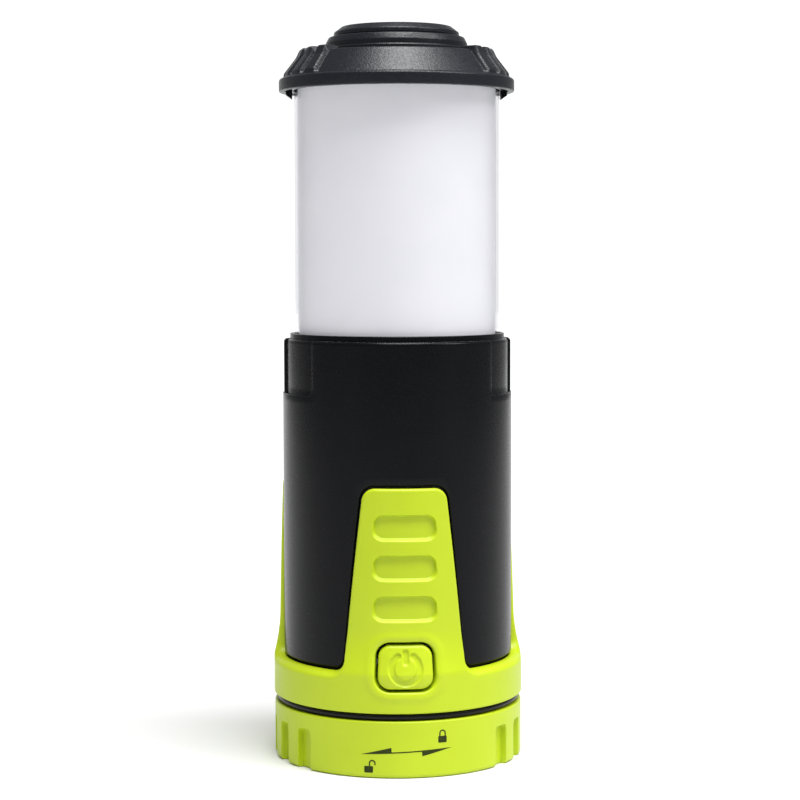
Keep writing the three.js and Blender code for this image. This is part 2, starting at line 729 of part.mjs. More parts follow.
function ledBoard() {
  return cut(toSolid(disc(17, 106.8, 108.4, INNER_ROUND)), boardScrewHoles());
}

function coreCover() {
  const windows = WEB_ANGLES.map((angle) => post(4.2, 100, 120, LED_CIRCLE, angle, SMALL_ROUND));
  return cut(toSolid(disc(SINK_RADIUS, 110.1, 110.9, INNER_ROUND)), windows);
}

place('core_tube', coreTube(), whitePlastic);
WEB_ANGLES.forEach((angle, i) => {
  const seat = polar(CORE_SCREW_CIRCLE, angle, CORE_SHELF + 2.3);
  place(`core_screw_${i + 1}`, screw(2.4, 1.4, 1.2, 9), steel, seat, [Math.PI, 0, 0]);
});
place('heat_sink', heatSink(), aluminium);
place('led_board', ledBoard(), circuitBoard);
WEB_ANGLES.forEach((angle, i) => {
  const chip = new THREE.BoxGeometry(5, 5, 0.9);
  place(`led_${i + 1}`, chip, ledPhosphor, polar(LED_CIRCLE, angle, 109.15), [0, 0, radians(angle)]);
});
BOARD_SCREW_ANGLES.forEach((angle, i) => {
  const seat = polar(BOARD_SCREW_CIRCLE, angle, 108.7);
  place(`board_screw_${i + 1}`, screw(1.9, 1, 0.95, 6), steel, seat, [Math.PI, 0, 0]);
});
place('core_cover', coreCover(), whitePlastic);

// ---- Driver board and leads --------------------------------------------------------------------

const DRIVER_LOW = 76;
const DRIVER_HIGH = 98;
place('driver_board', block([-15, -0.8, DRIVER_LOW], [15, 0.8, DRIVER_HIGH]), circuitBoard);
const coil = new THREE.CylinderGeometry(4, 4, 4, SMALL_ROUND);
place('driver_coil', coil, blackPlastic, new THREE.Vector3(0, 3.1, 88));

/** A lead along a smooth line through the given points. */
function lead(points, steps) {
  const curve = new THREE.CatmullRomCurve3(points.map((point) => new THREE.Vector3(...point)));
  return wire(curve, 0.6, steps);
}

for (const [name, side, finish] of [['left', -1, redWire], ['right', 1, blackWire]]) {
  const x = side * LEAD_X;
  const climb = [[x, LEAD_Y, 35.6], [x, LEAD_Y, 62], [x, LEAD_Y, 71]];
  const bend = [[x, -17, 76.5], [x, -10, 79.5], [x, -3.2, 80]];
  place(`switch_lead_${name}`, lead([...climb, ...bend], 16), finish);
  const end = side * LED_LEAD_X;
  const rise = [[side * 8, 1.8, 94], [side * 6, 1.6, 99], [end, 0, 103], [end, 0, 106.4]];
  place(`led_lead_${name}`, lead(rise, 8), finish);
}

// ---- Diffuser ----------------------------------------------------------------------------------

/** A ring that lies over or under the diffuser, or inside it. */
function diffuserRing(outerRadius, low, high) {
  return ring(SLEEVE_BORE, outerRadius, low, high, INNER_ROUND);
}

const tube = ring(SLEEVE_BORE + 1 + GAP, DIFFUSER_RADIUS, DIFFUSER_BOTTOM, DIFFUSER_TOP);
const sleeve = diffuserRing(SLEEVE_BORE + 1, DIFFUSER_BOTTOM, DIFFUSER_TOP);
const stopRing = diffuserRing(STOP_RING_RADIUS, DIFFUSER_BOTTOM - 2.7, DIFFUSER_BOTTOM - GAP);
const gasket = diffuserRing(DIFFUSER_RADIUS, DIFFUSER_TOP + GAP, DIFFUSER_TOP + 1.2);
place('diffuser_tube', tube, clearPlastic);
place('diffuser_sleeve', sleeve, frosted);
place('stop_ring', stopRing, blackPlastic);
place('head_gasket', gasket, rubber);

// ---- Head --------------------------------------------------------------------------------------

const HEAD_CEILING = 184.6;
const HEAD_SCREW_CIRCLE = 10;
const RIB_PITCH = 12.4; // degrees
const RIBS_PER_SIDE = 7;
const RIB_DEPTH = 0.8;
const LIP_BORE = 29.4;
const HEAD_BORE = 24.5;
const GASKET_SEAT = DIFFUSER_TOP + 1.5;

/** Grooves down the cone that leave seven grip ribs on each side. */
function ribGrooves() {
  const slope = Math.atan2(CONE_RADIUS_LOW - CONE_RADIUS_TOP, CONE_TOP - LIP_TOP);
  const grooves = [];
  for (const side of [90, -90]) {
    for (let i = 0; i <= RIBS_PER_SIDE; i += 1) {
      const angle = side + (i - RIBS_PER_SIDE / 2) * RIB_PITCH;
      const middle = (CONE_RADIUS_LOW + CONE_RADIUS_TOP) / 2;
      const tool = new THREE.BoxGeometry(1.9, 4, 8.6).translate(0, RIB_DEPTH - 2, 0.8);
      tool.rotateX(-slope).translate(0, -middle, (LIP_TOP + CONE_TOP) / 2);
      grooves.push(tool.rotateZ(radians(angle)));
    }
  }
  return grooves;
}

function headScrewHoles() {
  const tip = 189.8;
  return WEB_ANGLES.map((angle) =>
    post(1.5, HEAD_CEILING - 1, tip, HEAD_SCREW_CIRCLE, angle, SCREW_ROUND));
}

function headSkirt() {
  const body = toSolid(turned([
    [0, HEAD_CEILING],
    [HEAD_BORE, HEAD_CEILING],
    [HEAD_BORE, GASKET_SEAT],
    [DIFFUSER_RADIUS + GAP, GASKET_SEAT],
    [DIFFUSER_RADIUS + GAP, LIP_BOTTOM + 2.3],
    [LIP_BORE, LIP_BOTTOM + 2.3],
    [LIP_BORE, LIP_BOTTOM],
    [LIP_RADIUS, LIP_BOTTOM],
    [LIP_RADIUS, LIP_TOP - 0.5],
    [CONE_RADIUS_LOW, LIP_TOP],
    [CONE_RADIUS_TOP, CONE_TOP],
    [0, CONE_TOP],
  ]));
  return cut(body, [...ribGrooves(), ...headScrewHoles()]);
}

const DISC_SEAT = CROWN_TOP - 1;
const CROWN_RIM = CROWN_TOP - 0.5;

function crownRing() {
  const body = toSolid(turned([
    [0, CONE_TOP + GAP],
    [CROWN_RADIUS, CONE_TOP + GAP],
    [CROWN_RADIUS, CROWN_TOP - 2],
    [CROWN_RADIUS - 0.8, CROWN_RIM],
    [TOP_DISC_RADIUS + GAP, CROWN_RIM],
    [TOP_DISC_RADIUS + GAP, DISC_SEAT],
    [0, DISC_SEAT],
  ], INNER_ROUND));
  return cut(body, headScrewHoles());
}

function topDisc() {
  return turned([
    [0, DISC_SEAT + GAP],
    [TOP_DISC_RADIUS, DISC_SEAT + GAP],
    [TOP_DISC_RADIUS, TOTAL_HEIGHT - 1.6],
    [TOP_DISC_RADIUS - 2, TOTAL_HEIGHT],
    [0, TOTAL_HEIGHT],
  ], INNER_ROUND);
}

/** A ring under the lip with a wedge-shaped lug at each side. */
function latchRing() {
  const lug = new THREE.Shape([
    new THREE.Vector2(27.5, LIP_BOTTOM + 1),
    new THREE.Vector2(27.6, LIP_BOTTOM - 2),
    new THREE.Vector2(29.3, LIP_BOTTOM - 0.8),
    new THREE.Vector2(29, LIP_BOTTOM + 1),
  ]);
  const lugs = [90, -90].map((side) => {
    const wedge = new THREE.ExtrudeGeometry(lug, { depth: 3, bevelEnabled: false });
    return wedge.translate(0, 0, -1.5).rotateX(Math.PI / 2).rotateZ(radians(side - 90));
  });
  const body = ring(DIFFUSER_RADIUS + GAP, LIP_BORE - GAP, LIP_BOTTOM + GAP, LIP_BOTTOM + 2);
  return join(toSolid(body), lugs);
}

function headReflector() {
  return turned([
    [0, 176.6],
    [4, 177.2],
    [HEAD_BORE - GAP, 181.9],
    [HEAD_BORE - GAP, HEAD_CEILING - GAP],
    [22.8, HEAD_CEILING - GAP],
    [22.8, 183.2],
    [0, 178.6],
  ], INNER_ROUND);
}

place('head_skirt', headSkirt(), headPlastic);
place('crown_ring', crownRing(), headPlastic);
place('top_disc', topDisc(), headPlastic);
place('latch_ring', latchRing(), blackPlastic);
place('head_reflector', headReflector(), whitePlastic);
WEB_ANGLES.forEach((angle, i) => {
  const seat = polar(HEAD_SCREW_CIRCLE, angle, HEAD_CEILING - GAP);
  place(`head_screw_${i + 1}`, screw(2.4, 1.3, 1.2, 5), steel, seat);
});

export default group;
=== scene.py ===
import math

import bmesh
import bpy
import numpy as np
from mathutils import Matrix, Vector, geometry, kdtree


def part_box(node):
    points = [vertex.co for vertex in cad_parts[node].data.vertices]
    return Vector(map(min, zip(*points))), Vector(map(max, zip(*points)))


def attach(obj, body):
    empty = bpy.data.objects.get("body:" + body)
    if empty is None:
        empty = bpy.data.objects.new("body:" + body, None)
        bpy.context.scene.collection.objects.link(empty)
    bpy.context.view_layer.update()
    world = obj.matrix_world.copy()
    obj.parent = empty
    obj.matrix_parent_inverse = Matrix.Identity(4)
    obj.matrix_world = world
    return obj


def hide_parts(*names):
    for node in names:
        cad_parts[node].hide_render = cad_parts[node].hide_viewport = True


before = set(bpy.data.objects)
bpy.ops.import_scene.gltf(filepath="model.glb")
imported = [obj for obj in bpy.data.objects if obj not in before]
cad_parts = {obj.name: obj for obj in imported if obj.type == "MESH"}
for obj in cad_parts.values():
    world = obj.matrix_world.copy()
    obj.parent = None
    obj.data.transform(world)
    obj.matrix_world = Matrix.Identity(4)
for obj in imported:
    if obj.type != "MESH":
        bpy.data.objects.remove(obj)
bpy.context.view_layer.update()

# The looks of a pop-up camping lantern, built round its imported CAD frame.
# Lengths in the builders are in millimetres and are scaled to metres when a mesh is made.
# Angles round the lantern are in degrees from the front, positive towards +X.

MM = 0.001


def front(node):
    """How far a node reaches in front of the axis."""
    return -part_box(node)[0].y / MM


def low(node):
    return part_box(node)[0].z / MM


def high(node):
    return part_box(node)[1].z / MM


# ---- Sizes taken from the frame -----------------------------------------------------------------

COLLAR_RADIUS = front("grip_frame")
COLLAR_LOW = low("grip_frame")
PANEL_HIGH = high("grip_frame")
SHELL_RADIUS = -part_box("body_shell")[0].x / MM
SHELL_LOW = low("body_shell")
SHELL_HIGH = high("body_shell")
MOUTH_LOW = low("mouth_ring")
MOUTH_HIGH = high("mouth_ring")
MOUTH_RADIUS = front("mouth_ring")
CAP_RADIUS = front("base_cap")
CAP_HIGH = high("base_cap")
TUBE_RADIUS = front("diffuser_tube")
TUBE_BORE = TUBE_RADIUS - 0.85
SLIDE_GAP = 0.3  # clearance between the tube and what it slides in
TUBE_LOW = low("diffuser_tube")
TUBE_HIGH = high("diffuser_tube")
SLEEVE_RADIUS = front("diffuser_sleeve")
LIP_RADIUS = front("head_skirt")
LIP_LOW = low("head_skirt")
CROWN_RADIUS = front("crown_ring")
CROWN_LOW = low("crown_ring")
CROWN_HIGH = high("crown_ring")
DISC_RADIUS = front("top_disc")
DISC_LOW = low("top_disc")
DISC_HIGH = high("top_disc")
BUTTON_MIDDLE = (low("power_button") + high("power_button")) / 2

# ---- Sizes of the moulded detail ----------------------------------------------------------------

WRAP_RADIUS = 31.0  # distances round the body are measured on this radius
LEDGE_HIGH = 26.7  # top of the collar between the panels
FLARE_HIGH = 38.0  # the panels flare out into the collar below this
FLARE_CURVE = 1.8
PANEL_RADIUS_LOW = 31.6
PANEL_RADIUS_HIGH = 31.1
PANEL_TURN = 120  # degrees between panels
PANEL_HALF_HIGH = 20.3  # half angles of a panel at its top and at the ledge
PANEL_HALF_LOW = 29.9
PANEL_BULGE = 0.2  # how far a panel's sides bow out
PANEL_CORNER = 3.5
PANEL_FILLET = 3.6
PANEL_EDGE = 0.8  # edge rounding of the grip frame
PANEL_GAP = 0.65  # width of the joint between the grip frame and the shell
SHOULDER = 1.7  # height of the rounded shoulder that the collar has between the panels
COLLAR_EDGE = 0.4
FRAME_SEAT = 29.6  # radius of the shell under the grip frame
FRAME_INSIDE = 29.95

SLOT_MIDDLES = (64.4, 54.1, 43.65)  # heights of the three grip recesses
SLOT_HALF = (7.85, 2.8)  # half width and half height
SLOT_CORNER = 2.4
SLOT_DEPTH = 1.0
SLOT_WALL_HIGH = 0.3  # width of a slot's steep wall at its top, and of the slope at its foot
SLOT_WALL_LOW = 1.05
SLOT_ROWS = (-0.1, 0, 0.08, 0.15, 0.22, 0.3, 0.45, 0.6, 0.75, 0.9, 1.05, 1.2)

BUTTON_HALF = (6.85, 5.6)
BUTTON_CORNER = 3.1
BUTTON_EDGE = 0.9
BUTTON_BACK = 27.6
BUTTON_GAP = 0.75
BUTTON_HOLE_EDGE = 0.5
BUTTON_RIM = 0.2  # height of the soft swelling round the button's hole
BUTTON_RIM_WIDTH = 2.8

STEP_WALL = 0.04  # the steep walls of a recess lean by this much
SHELL_CHAMFER = 0.9
SHELL_BORE = 28.0
POCKET_ANGLES = (-90, 90)
POCKET_HALF = 39.8  # degrees
POCKET_LOW = 97
POCKET_DEPTH = 0.95
POCKET_CORNER = 2.0
RIB_HALF = 3.1
RIB_DEPTH = 0.25
NOTCH_HALF = 1.9
NOTCH_LOW = 110.4
NOTCH_RADIUS = 29.7

CAP_BORE = 29.6
CAP_FLOOR = 3
CAP_RECESS = 25  # radius of the hollow underneath, which leaves a ring to stand on
CAP_RECESS_DEPTH = 0.8
GRIP_PITCH = 360 / 21  # degrees between the cap's upright grooves
GRIP_FIRST = 3  # the pitches next to the front are left smooth for the print
GRIP_LAST = 18
GRIP_HALF = 2.5
GRIP_HIGH = 10.6
GRIP_DEPTH = 1.6

LIP_BORE = 29.4
LIP_BORE_HIGH = LIP_LOW + 2.3
HEAD_BORE = 24.5
HEAD_CEILING = LIP_LOW + 8.4
GASKET_SEAT = TUBE_HIGH + 1.5
CONE_LOW_RADIUS = 30.1
CONE_HIGH_RADIUS = 25.2
CONE_LOW = LIP_LOW + 3.4
CONE_HIGH = LIP_LOW + 9.8
HEAD_PITCH = 12.4  # degrees between the grooves that leave the head's grip ribs
HEAD_GROOVES = 8
HEAD_GROOVE_DEPTH = 0.75
HEAD_RIB_RISE = 0.5
HEAD_RIB_SHOULDER = 0.9  # how much further the ribs stand up on the flat top of the skirt

# ---- Light and paper ----------------------------------------------------------------------------

PAPER_FROM = 0.8  # how far behind the object the bright paper starts, as a share of straight behind
PAPER_LIGHT = 1.1
PAPER_SEEN = 1.1
ROOM_LIGHT = 0.28


CREASE = 32  # edges that turn by more degrees than this are shaded sharp


# ---- Meshes -------------------------------------------------------------------------------------


def add_piece(name, points, faces, finish, body, stands_for):
    """A mesh of points in millimetres that rides on a CAD body and stands for its CAD nodes."""
    mesh = bpy.data.meshes.new(name)
    mesh.from_pydata((np.asarray(points, float) * MM).tolist(), [], faces)
    shell = bmesh.new()
    shell.from_mesh(mesh)
    bmesh.ops.remove_doubles(shell, verts=shell.verts, dist=1e-6)
    bmesh.ops.recalc_face_normals(shell, faces=shell.faces)
    shell.to_mesh(mesh)
    shell.free()
    mesh.shade_smooth()
    mesh.set_sharp_from_angle(angle=math.radians(CREASE))
    material, slot = finish
    mesh.materials.append(material)
    piece = bpy.data.objects.new(name, mesh)
    bpy.context.scene.collection.objects.link(piece)
    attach(piece, body)
    if stands_for:
        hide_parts(*stands_for)
    return piece


def rounded(corners, steps=6):
    """A line through [x, y, rounding] corners, with an arc at each corner that has a rounding."""
    points = []
    for i, (x, y, rounding) in enumerate(corners):
        here = np.array((x, y), float)
        if rounding == 0 or i in (0, len(corners) - 1):
            points.append(here)
            continue
        back = np.array(corners[i - 1][:2]) - here
        ahead = np.array(corners[i + 1][:2]) - here
        back = back / np.linalg.norm(back)
        ahead = ahead / np.linalg.norm(ahead)
        half = math.acos(np.clip(back @ ahead, -1, 1)) / 2
        reach = rounding / math.tan(half)
        middle = back + ahead
        centre = here + middle / np.linalg.norm(middle) * rounding / math.sin(half)
        start = here + back * reach - centre
        end = here + ahead * reach - centre
        first = math.atan2(start[1], start[0])
        turn = math.atan2(end[1], end[0]) - first
        turn = (turn + math.pi) % (2 * math.pi) - math.pi
        for k in range(steps + 1):
            angle = first + turn * k / steps
            points.append(centre + rounding * np.array((math.cos(angle), math.sin(angle))))
    return np.array(points)


def resampled(line, step):
    """A line with points added so that none is further than a step from the next."""
    points = [line[0]]
    for a, b in zip(line[:-1], line[1:]):
        count = max(1, math.ceil(np.linalg.norm(b - a) / step))
        points.extend(a + (b - a) * k / count for k in range(1, count + 1))
    return np.array(points)


def wrapped(radius, degrees, z):
    """Points in space at a radius, an angle from the front and a height."""
    angle = np.radians(degrees)
    return np.stack([radius * np.sin(angle), -radius * np.cos(angle), z + 0 * angle], axis=-1)


def turned(name, profile, finish, body, stands_for, angles=None, shape=None, closed=False):
    """A [radius, z] profile turned about the axis. shape(angle, profile) may change it at each angle.
    A profile that isn't closed starts and ends on the axis."""
    angles = np.linspace(0, 360, 241)[:-1] if angles is None else angles
    rows = []
    for angle in angles:
        section = profile if shape is None else shape(angle, profile)
        rows.append(wrapped(section[:, 0], np.full(len(section), angle), section[:, 1]))
    points = np.concatenate(rows)
    size = len(profile)
    faces = []
    for i in range(len(angles)):
        here = i * size
        beside = (i + 1) % len(angles) * size
        for j in range(size if closed else size - 1):
            k = (j + 1) % size
            faces.append((here + j, beside + j, beside + k, here + k))
    return add_piece(name, points, faces, finish, body, stands_for)


def fine_angles(even, centres, across, radius, reach):
    """Even angles all round, with close ones in their place within reach of each groove's centre."""
    spread = sorted({sign * x for x in across for sign in (-1, 1)})
    near = [c + math.degrees(x / radius) for c in centres for x in spread]
    plain = [a for a in even if min(abs(a - c) for c in centres) > reach]
    return np.unique(np.round(np.concatenate([near, plain]), 5))


def smooth(share):
    """A share from 0 to 1, eased at both ends."""
    share = np.clip(share, 0, 1)
    return share * share * (3 - 2 * share)


def edge_drop(inside, rounding):
    """How far a rounded edge falls away at a distance inside it."""
    short = np.clip(rounding - inside, 0, rounding)
    return rounding - np.sqrt(np.maximum(rounding**2 - short**2, 0))


def edge_offsets(rounding, steps=5):
    """Distances inside an edge where its rounding has a row of points."""
    return [rounding * (1 - math.cos(math.pi / 2 * k / steps)) for k in range(steps + 1)]


def step_down(outside, depth, crest, foot):
    """Depth of a recess with steep walls, from the distance outside its outline."""
    crest_drop = edge_drop(np.maximum(outside, 0), crest)
    foot_rise = edge_drop(np.maximum(-STEP_WALL - outside, 0), foot)
    share = np.clip(-outside / STEP_WALL, 0, 1)
    wall = crest + (depth - foot - crest) * share
    return np.where(outside >= 0, crest_drop, np.where(outside > -STEP_WALL, wall, depth - foot_rise))


def step_offsets(crest, foot):
    """Distances outside a recess's outline where its walls have a row of points."""
    inner = [-STEP_WALL - d for d in edge_offsets(foot, 3)]
    return [*inner[::-1], *edge_offsets(crest, 3)]


def box_distance(points, centre, half, corner):
    """Distance outside a rounded box, negative inside it."""
    q = np.abs(points - np.array(centre)) - (np.array(half) - corner)
    return np.linalg.norm(np.maximum(q, 0), axis=1) + np.minimum(q.max(axis=1), 0) - corner


def box_line(centre, half, corner, offset=0.0, step=0.7):
    """The closed outline of a rounded box, grown by an offset."""
    radius = max(corner + offset, 0.05)
    arm = np.array(half) + offset - radius
    steps = 8
    points = []
    for quarter, side in enumerate(((1, -1), (1, 1), (-1, 1), (-1, -1))):
        for k in range(steps + 1):
            angle = math.pi / 2 * (quarter - 1 + k / steps)
            arc = radius * np.array((math.cos(angle), math.sin(angle)))
            points.append(centre + side * arm + arc)
    points.append(points[0])
    return resampled(np.array(points), step)


def line_distance(points, line):
    """Distance from each point to the nearest place on a line."""
    best = np.full(len(points), np.inf)
    for a, b in zip(line[:-1], line[1:]):
        edge = b - a
        t = np.clip(((points - a) @ edge) / (edge @ edge), 0, 1)
        gap = points - a - t[:, None] * edge
        best = np.minimum(best, np.einsum("ij,ij->i", gap, gap))
    return np.sqrt(best)


def within(points, outline):
    """Which points are inside a closed outline."""
    inside = np.zeros(len(points), bool)
    x, y = points[:, 0], points[:, 1]
    for (x0, y0), (x1, y1) in zip(outline, np.roll(outline, -1, axis=0)):
        if y0 == y1:
            continue
        crosses = (y0 > y) != (y1 > y)
        inside ^= crosses & (x < (x1 - x0) * (y - y0) / (y1 - y0) + x0)
    return inside


def offset_line(line, distance):
    """A line moved sideways, to the left of its direction."""
    ahead = np.diff(line, axis=0)
    ahead /= np.linalg.norm(ahead, axis=1)[:, None]
    along = np.vstack([ahead[:1], ahead[:-1] + ahead[1:], ahead[-1:]])
    along /= np.linalg.norm(along, axis=1)[:, None]
    return line + distance * np.stack([-along[:, 1], along[:, 0]], axis=1)


def lattice(outline, spacing):
    """Points in staggered rows over an outline's bounding box."""
    low_corner, high_corner = outline.min(axis=0), outline.max(axis=0)
    row_gap = spacing * math.sqrt(3) / 2
    width, height = high_corner - low_corner
    points = []
    for row in range(int(height / row_gap) + 1):
        shift = spacing / 2 if row % 2 else 0
        for column in range(int(width / spacing) + 1):
            points.append(low_corner + (shift + column * spacing, row * row_gap))
    return np.array(points)


def outside_holes(points, holes):
    """Which points are in none of the holes."""
    keep = np.ones(len(points), bool)
    for hole in holes:
        keep &= ~within(points, hole)
    return keep


def filled(outline, curves, holes, spacing):
    """A flat outline filled with triangles that follow the curves: its points and its triangles."""
    points = []
    edges = []
    for line in (np.vstack([outline, outline[:1]]), *holes, *curves):
        start = len(points)
        points.extend(map(tuple, line))
        edges.extend((start + k, start + k + 1) for k in range(len(line) - 1))
    tree = kdtree.KDTree(len(points))
    for i, (x, y) in enumerate(points):
        tree.insert((x, y, 0), i)
    tree.balance()
    fill = lattice(outline, spacing)
    for x, y in fill[within(fill, outline) & outside_holes(fill, holes)]:
        if tree.find((x, y, 0))[2] > 0.55 * spacing:
            points.append((x, y))
    found = geometry.delaunay_2d_cdt([Vector(p) for p in points], edges, [], 1, 1e-6)
    flat = np.array([tuple(v) for v in found[0]])
    triangles = np.array([f for f in found[2] if len(f) == 3])
    return flat, triangles[outside_holes(flat[triangles].mean(axis=1), holes)]


def at_radius(radius):
    """A surface at one radius all over."""

    def surface(points):
        return np.full(len(points), radius)

    return surface


def slab(name, flat, triangles, outer, inner, finish, body, stands_for=(), wrap=WRAP_RADIUS):
    """A flat sheet of [distance round, height] points and triangles, wrapped round the axis as a closed
    plate between an inner and an outer radius. Ends half a turn away are joined."""
    degrees = np.degrees(flat[:, 0] / wrap)
    outside = wrapped(outer(flat), degrees, flat[:, 1])
    inside = wrapped(inner(flat), degrees, flat[:, 1])
    count = len(flat)
    faces = [tuple(t) for t in triangles]
    faces += [tuple(t[::-1] + count) for t in triangles]
    sides = np.concatenate([triangles[:, [0, 1]], triangles[:, [1, 2]], triangles[:, [2, 0]]])
    beside = {}
    for a, b in sides:
        beside.setdefault((min(a, b), max(a, b)), []).append((a, b))
    join = math.pi * wrap - 1e-3
    for pairs in beside.values():
        a, b = pairs[0]
        at_join = abs(flat[a, 0]) > join and abs(flat[b, 0]) > join
        if len(pairs) == 1 and not at_join:
            faces.append((b, a, a + count, b + count))
    points = np.vstack([outside, inside])
    return add_piece(name, points, faces, finish, body, stands_for)


# ---- Materials ----------------------------------------------------------------------------------


def linear(*srgb):
    """A colour given as 0 to 255 sRGB values, as the linear colour that shaders take."""
    share = np.array(srgb) / 255
    value = np.where(share <= 0.04045, share / 12.92, ((share + 0.055) / 1.055) ** 2.4)
    return (*value, 1.0)


class Finish:
    """A node material with a Principled shader and a few shorthand nodes."""

    def __init__(self, name):
        self.material = bpy.data.materials.new(name)
        self.material.use_nodes = True
        self.tree = self.material.node_tree
        self.shader = self.tree.nodes["Principled BSDF"]
        self.place = self.node("ShaderNodeTexCoord").outputs["Object"]

    def node(self, kind, **values):
        made = self.tree.nodes.new(kind)
        for key, value in values.items():
            setattr(made, key, value)
        return made

    def link(self, start, end):
        self.tree.links.new(start, end)

    def set(self, **values):
        """Sets constants on the shader, with _ for a space in a socket's name."""
        for key, value in values.items():
            self.shader.inputs[key.replace("_", " ")].default_value = value

    def noise(self, per_mm, detail=2.0, stretch=(1, 1, 1)):
        """Noise with about this many features in a millimetre."""
        scaled = self.node("ShaderNodeMapping")
        scaled.inputs["Scale"].default_value = stretch
        self.link(self.place, scaled.inputs["Vector"])
        made = self.node("ShaderNodeTexNoise")
        made.inputs["Scale"].default_value = per_mm / MM
        made.inputs["Detail"].default_value = detail
        self.link(scaled.outputs["Vector"], made.inputs["Vector"])
        return made.outputs["Fac"]

    def ramp(self, value, stops):
        """A colour ramp over [place, colour] stops."""
        made = self.node("ShaderNodeValToRGB")
        elements = made.color_ramp.elements
        elements[0].position, elements[0].color = stops[0]
        elements[1].position, elements[1].color = stops[-1]
        for place, colour in stops[1:-1]:
            elements.new(place).color = colour
        self.link(value, made.inputs["Fac"])
        return made.outputs["Color"]

    def range(self, value, start, end, from_low=0.3, from_high=0.7):
        """A value spread over a range. Noise lies mostly between the two usual ends."""
        made = self.node("ShaderNodeMapRange")
        made.inputs["From Min"].default_value = from_low
        made.inputs["From Max"].default_value = from_high
        made.inputs["To Min"].default_value = start
        made.inputs["To Max"].default_value = end
        self.link(value, made.inputs["Value"])
        return made.outputs["Result"]

    def mix(self, share, start, end):
        """A colour between two constant ones, by the sockets that a mix node keeps for colours."""
        made = self.node("ShaderNodeMix", data_type="RGBA")
        self.link(share, made.inputs[0])
        made.inputs[6].default_value = start
        made.inputs[7].default_value = end
        return made.outputs[2]

    def colour(self, value):
        """Takes the base colour from a socket."""
        self.link(value, self.shader.inputs["Base Color"])

    def roughness(self, value):
        """Takes the roughness from a socket."""
        self.link(value, self.shader.inputs["Roughness"])

    def bump(self, *heights):
        """Bumps from [value, height in millimetres] pairs, one on top of the other."""
        below = None
        for value, height in heights:
            made = self.node("ShaderNodeBump")
            made.inputs["Strength"].default_value = 1.0
            made.inputs["Distance"].default_value = height * MM
            self.link(value, made.inputs["Height"])
            if below is not None:
                self.link(below, made.inputs["Normal"])
            below = made.outputs["Normal"]
        self.link(below, self.shader.inputs["Normal"])


def moulded(name, dark, light, rough, grain_per_mm, grain_height, specular=0.5, waves=0.03):
    """Spark-textured moulded plastic: slow colour drift, uneven gloss, fine grain and slight waviness."""
    finish = Finish(name)
    finish.colour(finish.ramp(finish.noise(0.05, 3), [(0.3, dark), (0.7, light)]))
    finish.roughness(finish.range(finish.noise(grain_per_mm * 0.6, 3), *rough))
    finish.set(Specular_IOR_Level=specular)
    finish.bump((finish.noise(grain_per_mm, 3), grain_height), (finish.noise(0.12, 2), waves))
    return finish.material


def lime_plastic():
    dark, light = linear(182, 203, 22), linear(188, 209, 30)
    return moulded("lime_plastic", dark, light, (0.34, 0.46), 3.2, 0.012, 0.4)


def black_plastic():
    dark, light = linear(7, 8, 11), linear(11, 12, 15)
    return moulded("black_plastic", dark, light, (0.2, 0.3), 3.6, 0.006, 0.14, 0.015)


def head_plastic():
    dark, light = linear(11, 14, 22), linear(17, 21, 30)
    return moulded("head_plastic", dark, light, (0.32, 0.44), 2.0, 0.07, 0.4)


def frosted_plastic():
    """White translucent plastic. A faint glow stands for the light that passes through it from behind."""
    finish = Finish("frosted_plastic")
    cloud = finish.noise(0.08, 3)
    finish.colour(finish.ramp(cloud, [(0.3, linear(226, 226, 226)), (0.7, linear(230, 230, 229))]))
    finish.roughness(finish.range(finish.noise(1.5, 3), 0.5, 0.65))
    finish.set(Specular_IOR_Level=0.3, Emission_Color=(1, 1, 1, 1), Emission_Strength=0.2)
    finish.bump((finish.noise(4, 2), 0.006))
    return finish.material


def clear_plastic():
    """A clear wall: see-through, with gloss that grows towards its edges."""
    finish = Finish("clear_plastic")
    gloss = finish.node("ShaderNodeBsdfGlossy")
    finish.link(finish.range(finish.noise(0.4, 2), 0.05, 0.11), gloss.inputs["Roughness"])
    through = finish.node("ShaderNodeBsdfTransparent")
    through.inputs["Color"].default_value = linear(252, 252, 254)
    facing = finish.node("ShaderNodeLayerWeight")
    steep = finish.node("ShaderNodeMath", operation="POWER")
    steep.inputs[1].default_value = 4.0
    finish.link(facing.outputs["Facing"], steep.inputs[0])
    mixed = finish.node("ShaderNodeMixShader")
    finish.link(finish.range(steep.outputs[0], 0.035, 0.6, 0, 1), mixed.inputs["Fac"])
    finish.link(through.outputs["BSDF"], mixed.inputs[1])
    finish.link(gloss.outputs["BSDF"], mixed.inputs[2])
    output = finish.tree.nodes["Material Output"]
    finish.link(mixed.outputs["Shader"], output.inputs["Surface"])
    finish.tree.nodes.remove(finish.shader)
    return finish.material


def rubber():
    dark, light = linear(9, 9, 11), linear(17, 17, 20)
    return moulded("rubber", dark, light, (0.26, 0.36), 4, 0.006, 0.2)


def white_plastic():
    dark, light = linear(226, 226, 221), linear(236, 236, 232)
    return moulded("white_plastic", dark, light, (0.4, 0.55), 3, 0.01, 0.5)


def metal(name, dark, light, rough, stretch):
    """Metal with a drawn or turned grain."""
    finish = Finish(name)
    streaks = finish.noise(2.0, 4, stretch)
    finish.colour(finish.ramp(streaks, [(0.3, dark), (0.7, light)]))
    finish.roughness(finish.range(streaks, *rough))
    finish.set(Metallic=1.0)
    finish.bump((streaks, 0.01))
    return finish.material


def steel():
    return metal("steel", linear(150, 152, 156), linear(188, 190, 194), (0.25, 0.42), (1, 1, 0.2))


def aluminium():
    return metal("aluminium", linear(196, 198, 202), linear(222, 223, 226), (0.3, 0.5), (0.2, 1, 1))


def brass():
    return metal("brass", linear(186, 150, 78), linear(214, 180, 104), (0.25, 0.4), (1, 0.3, 1))


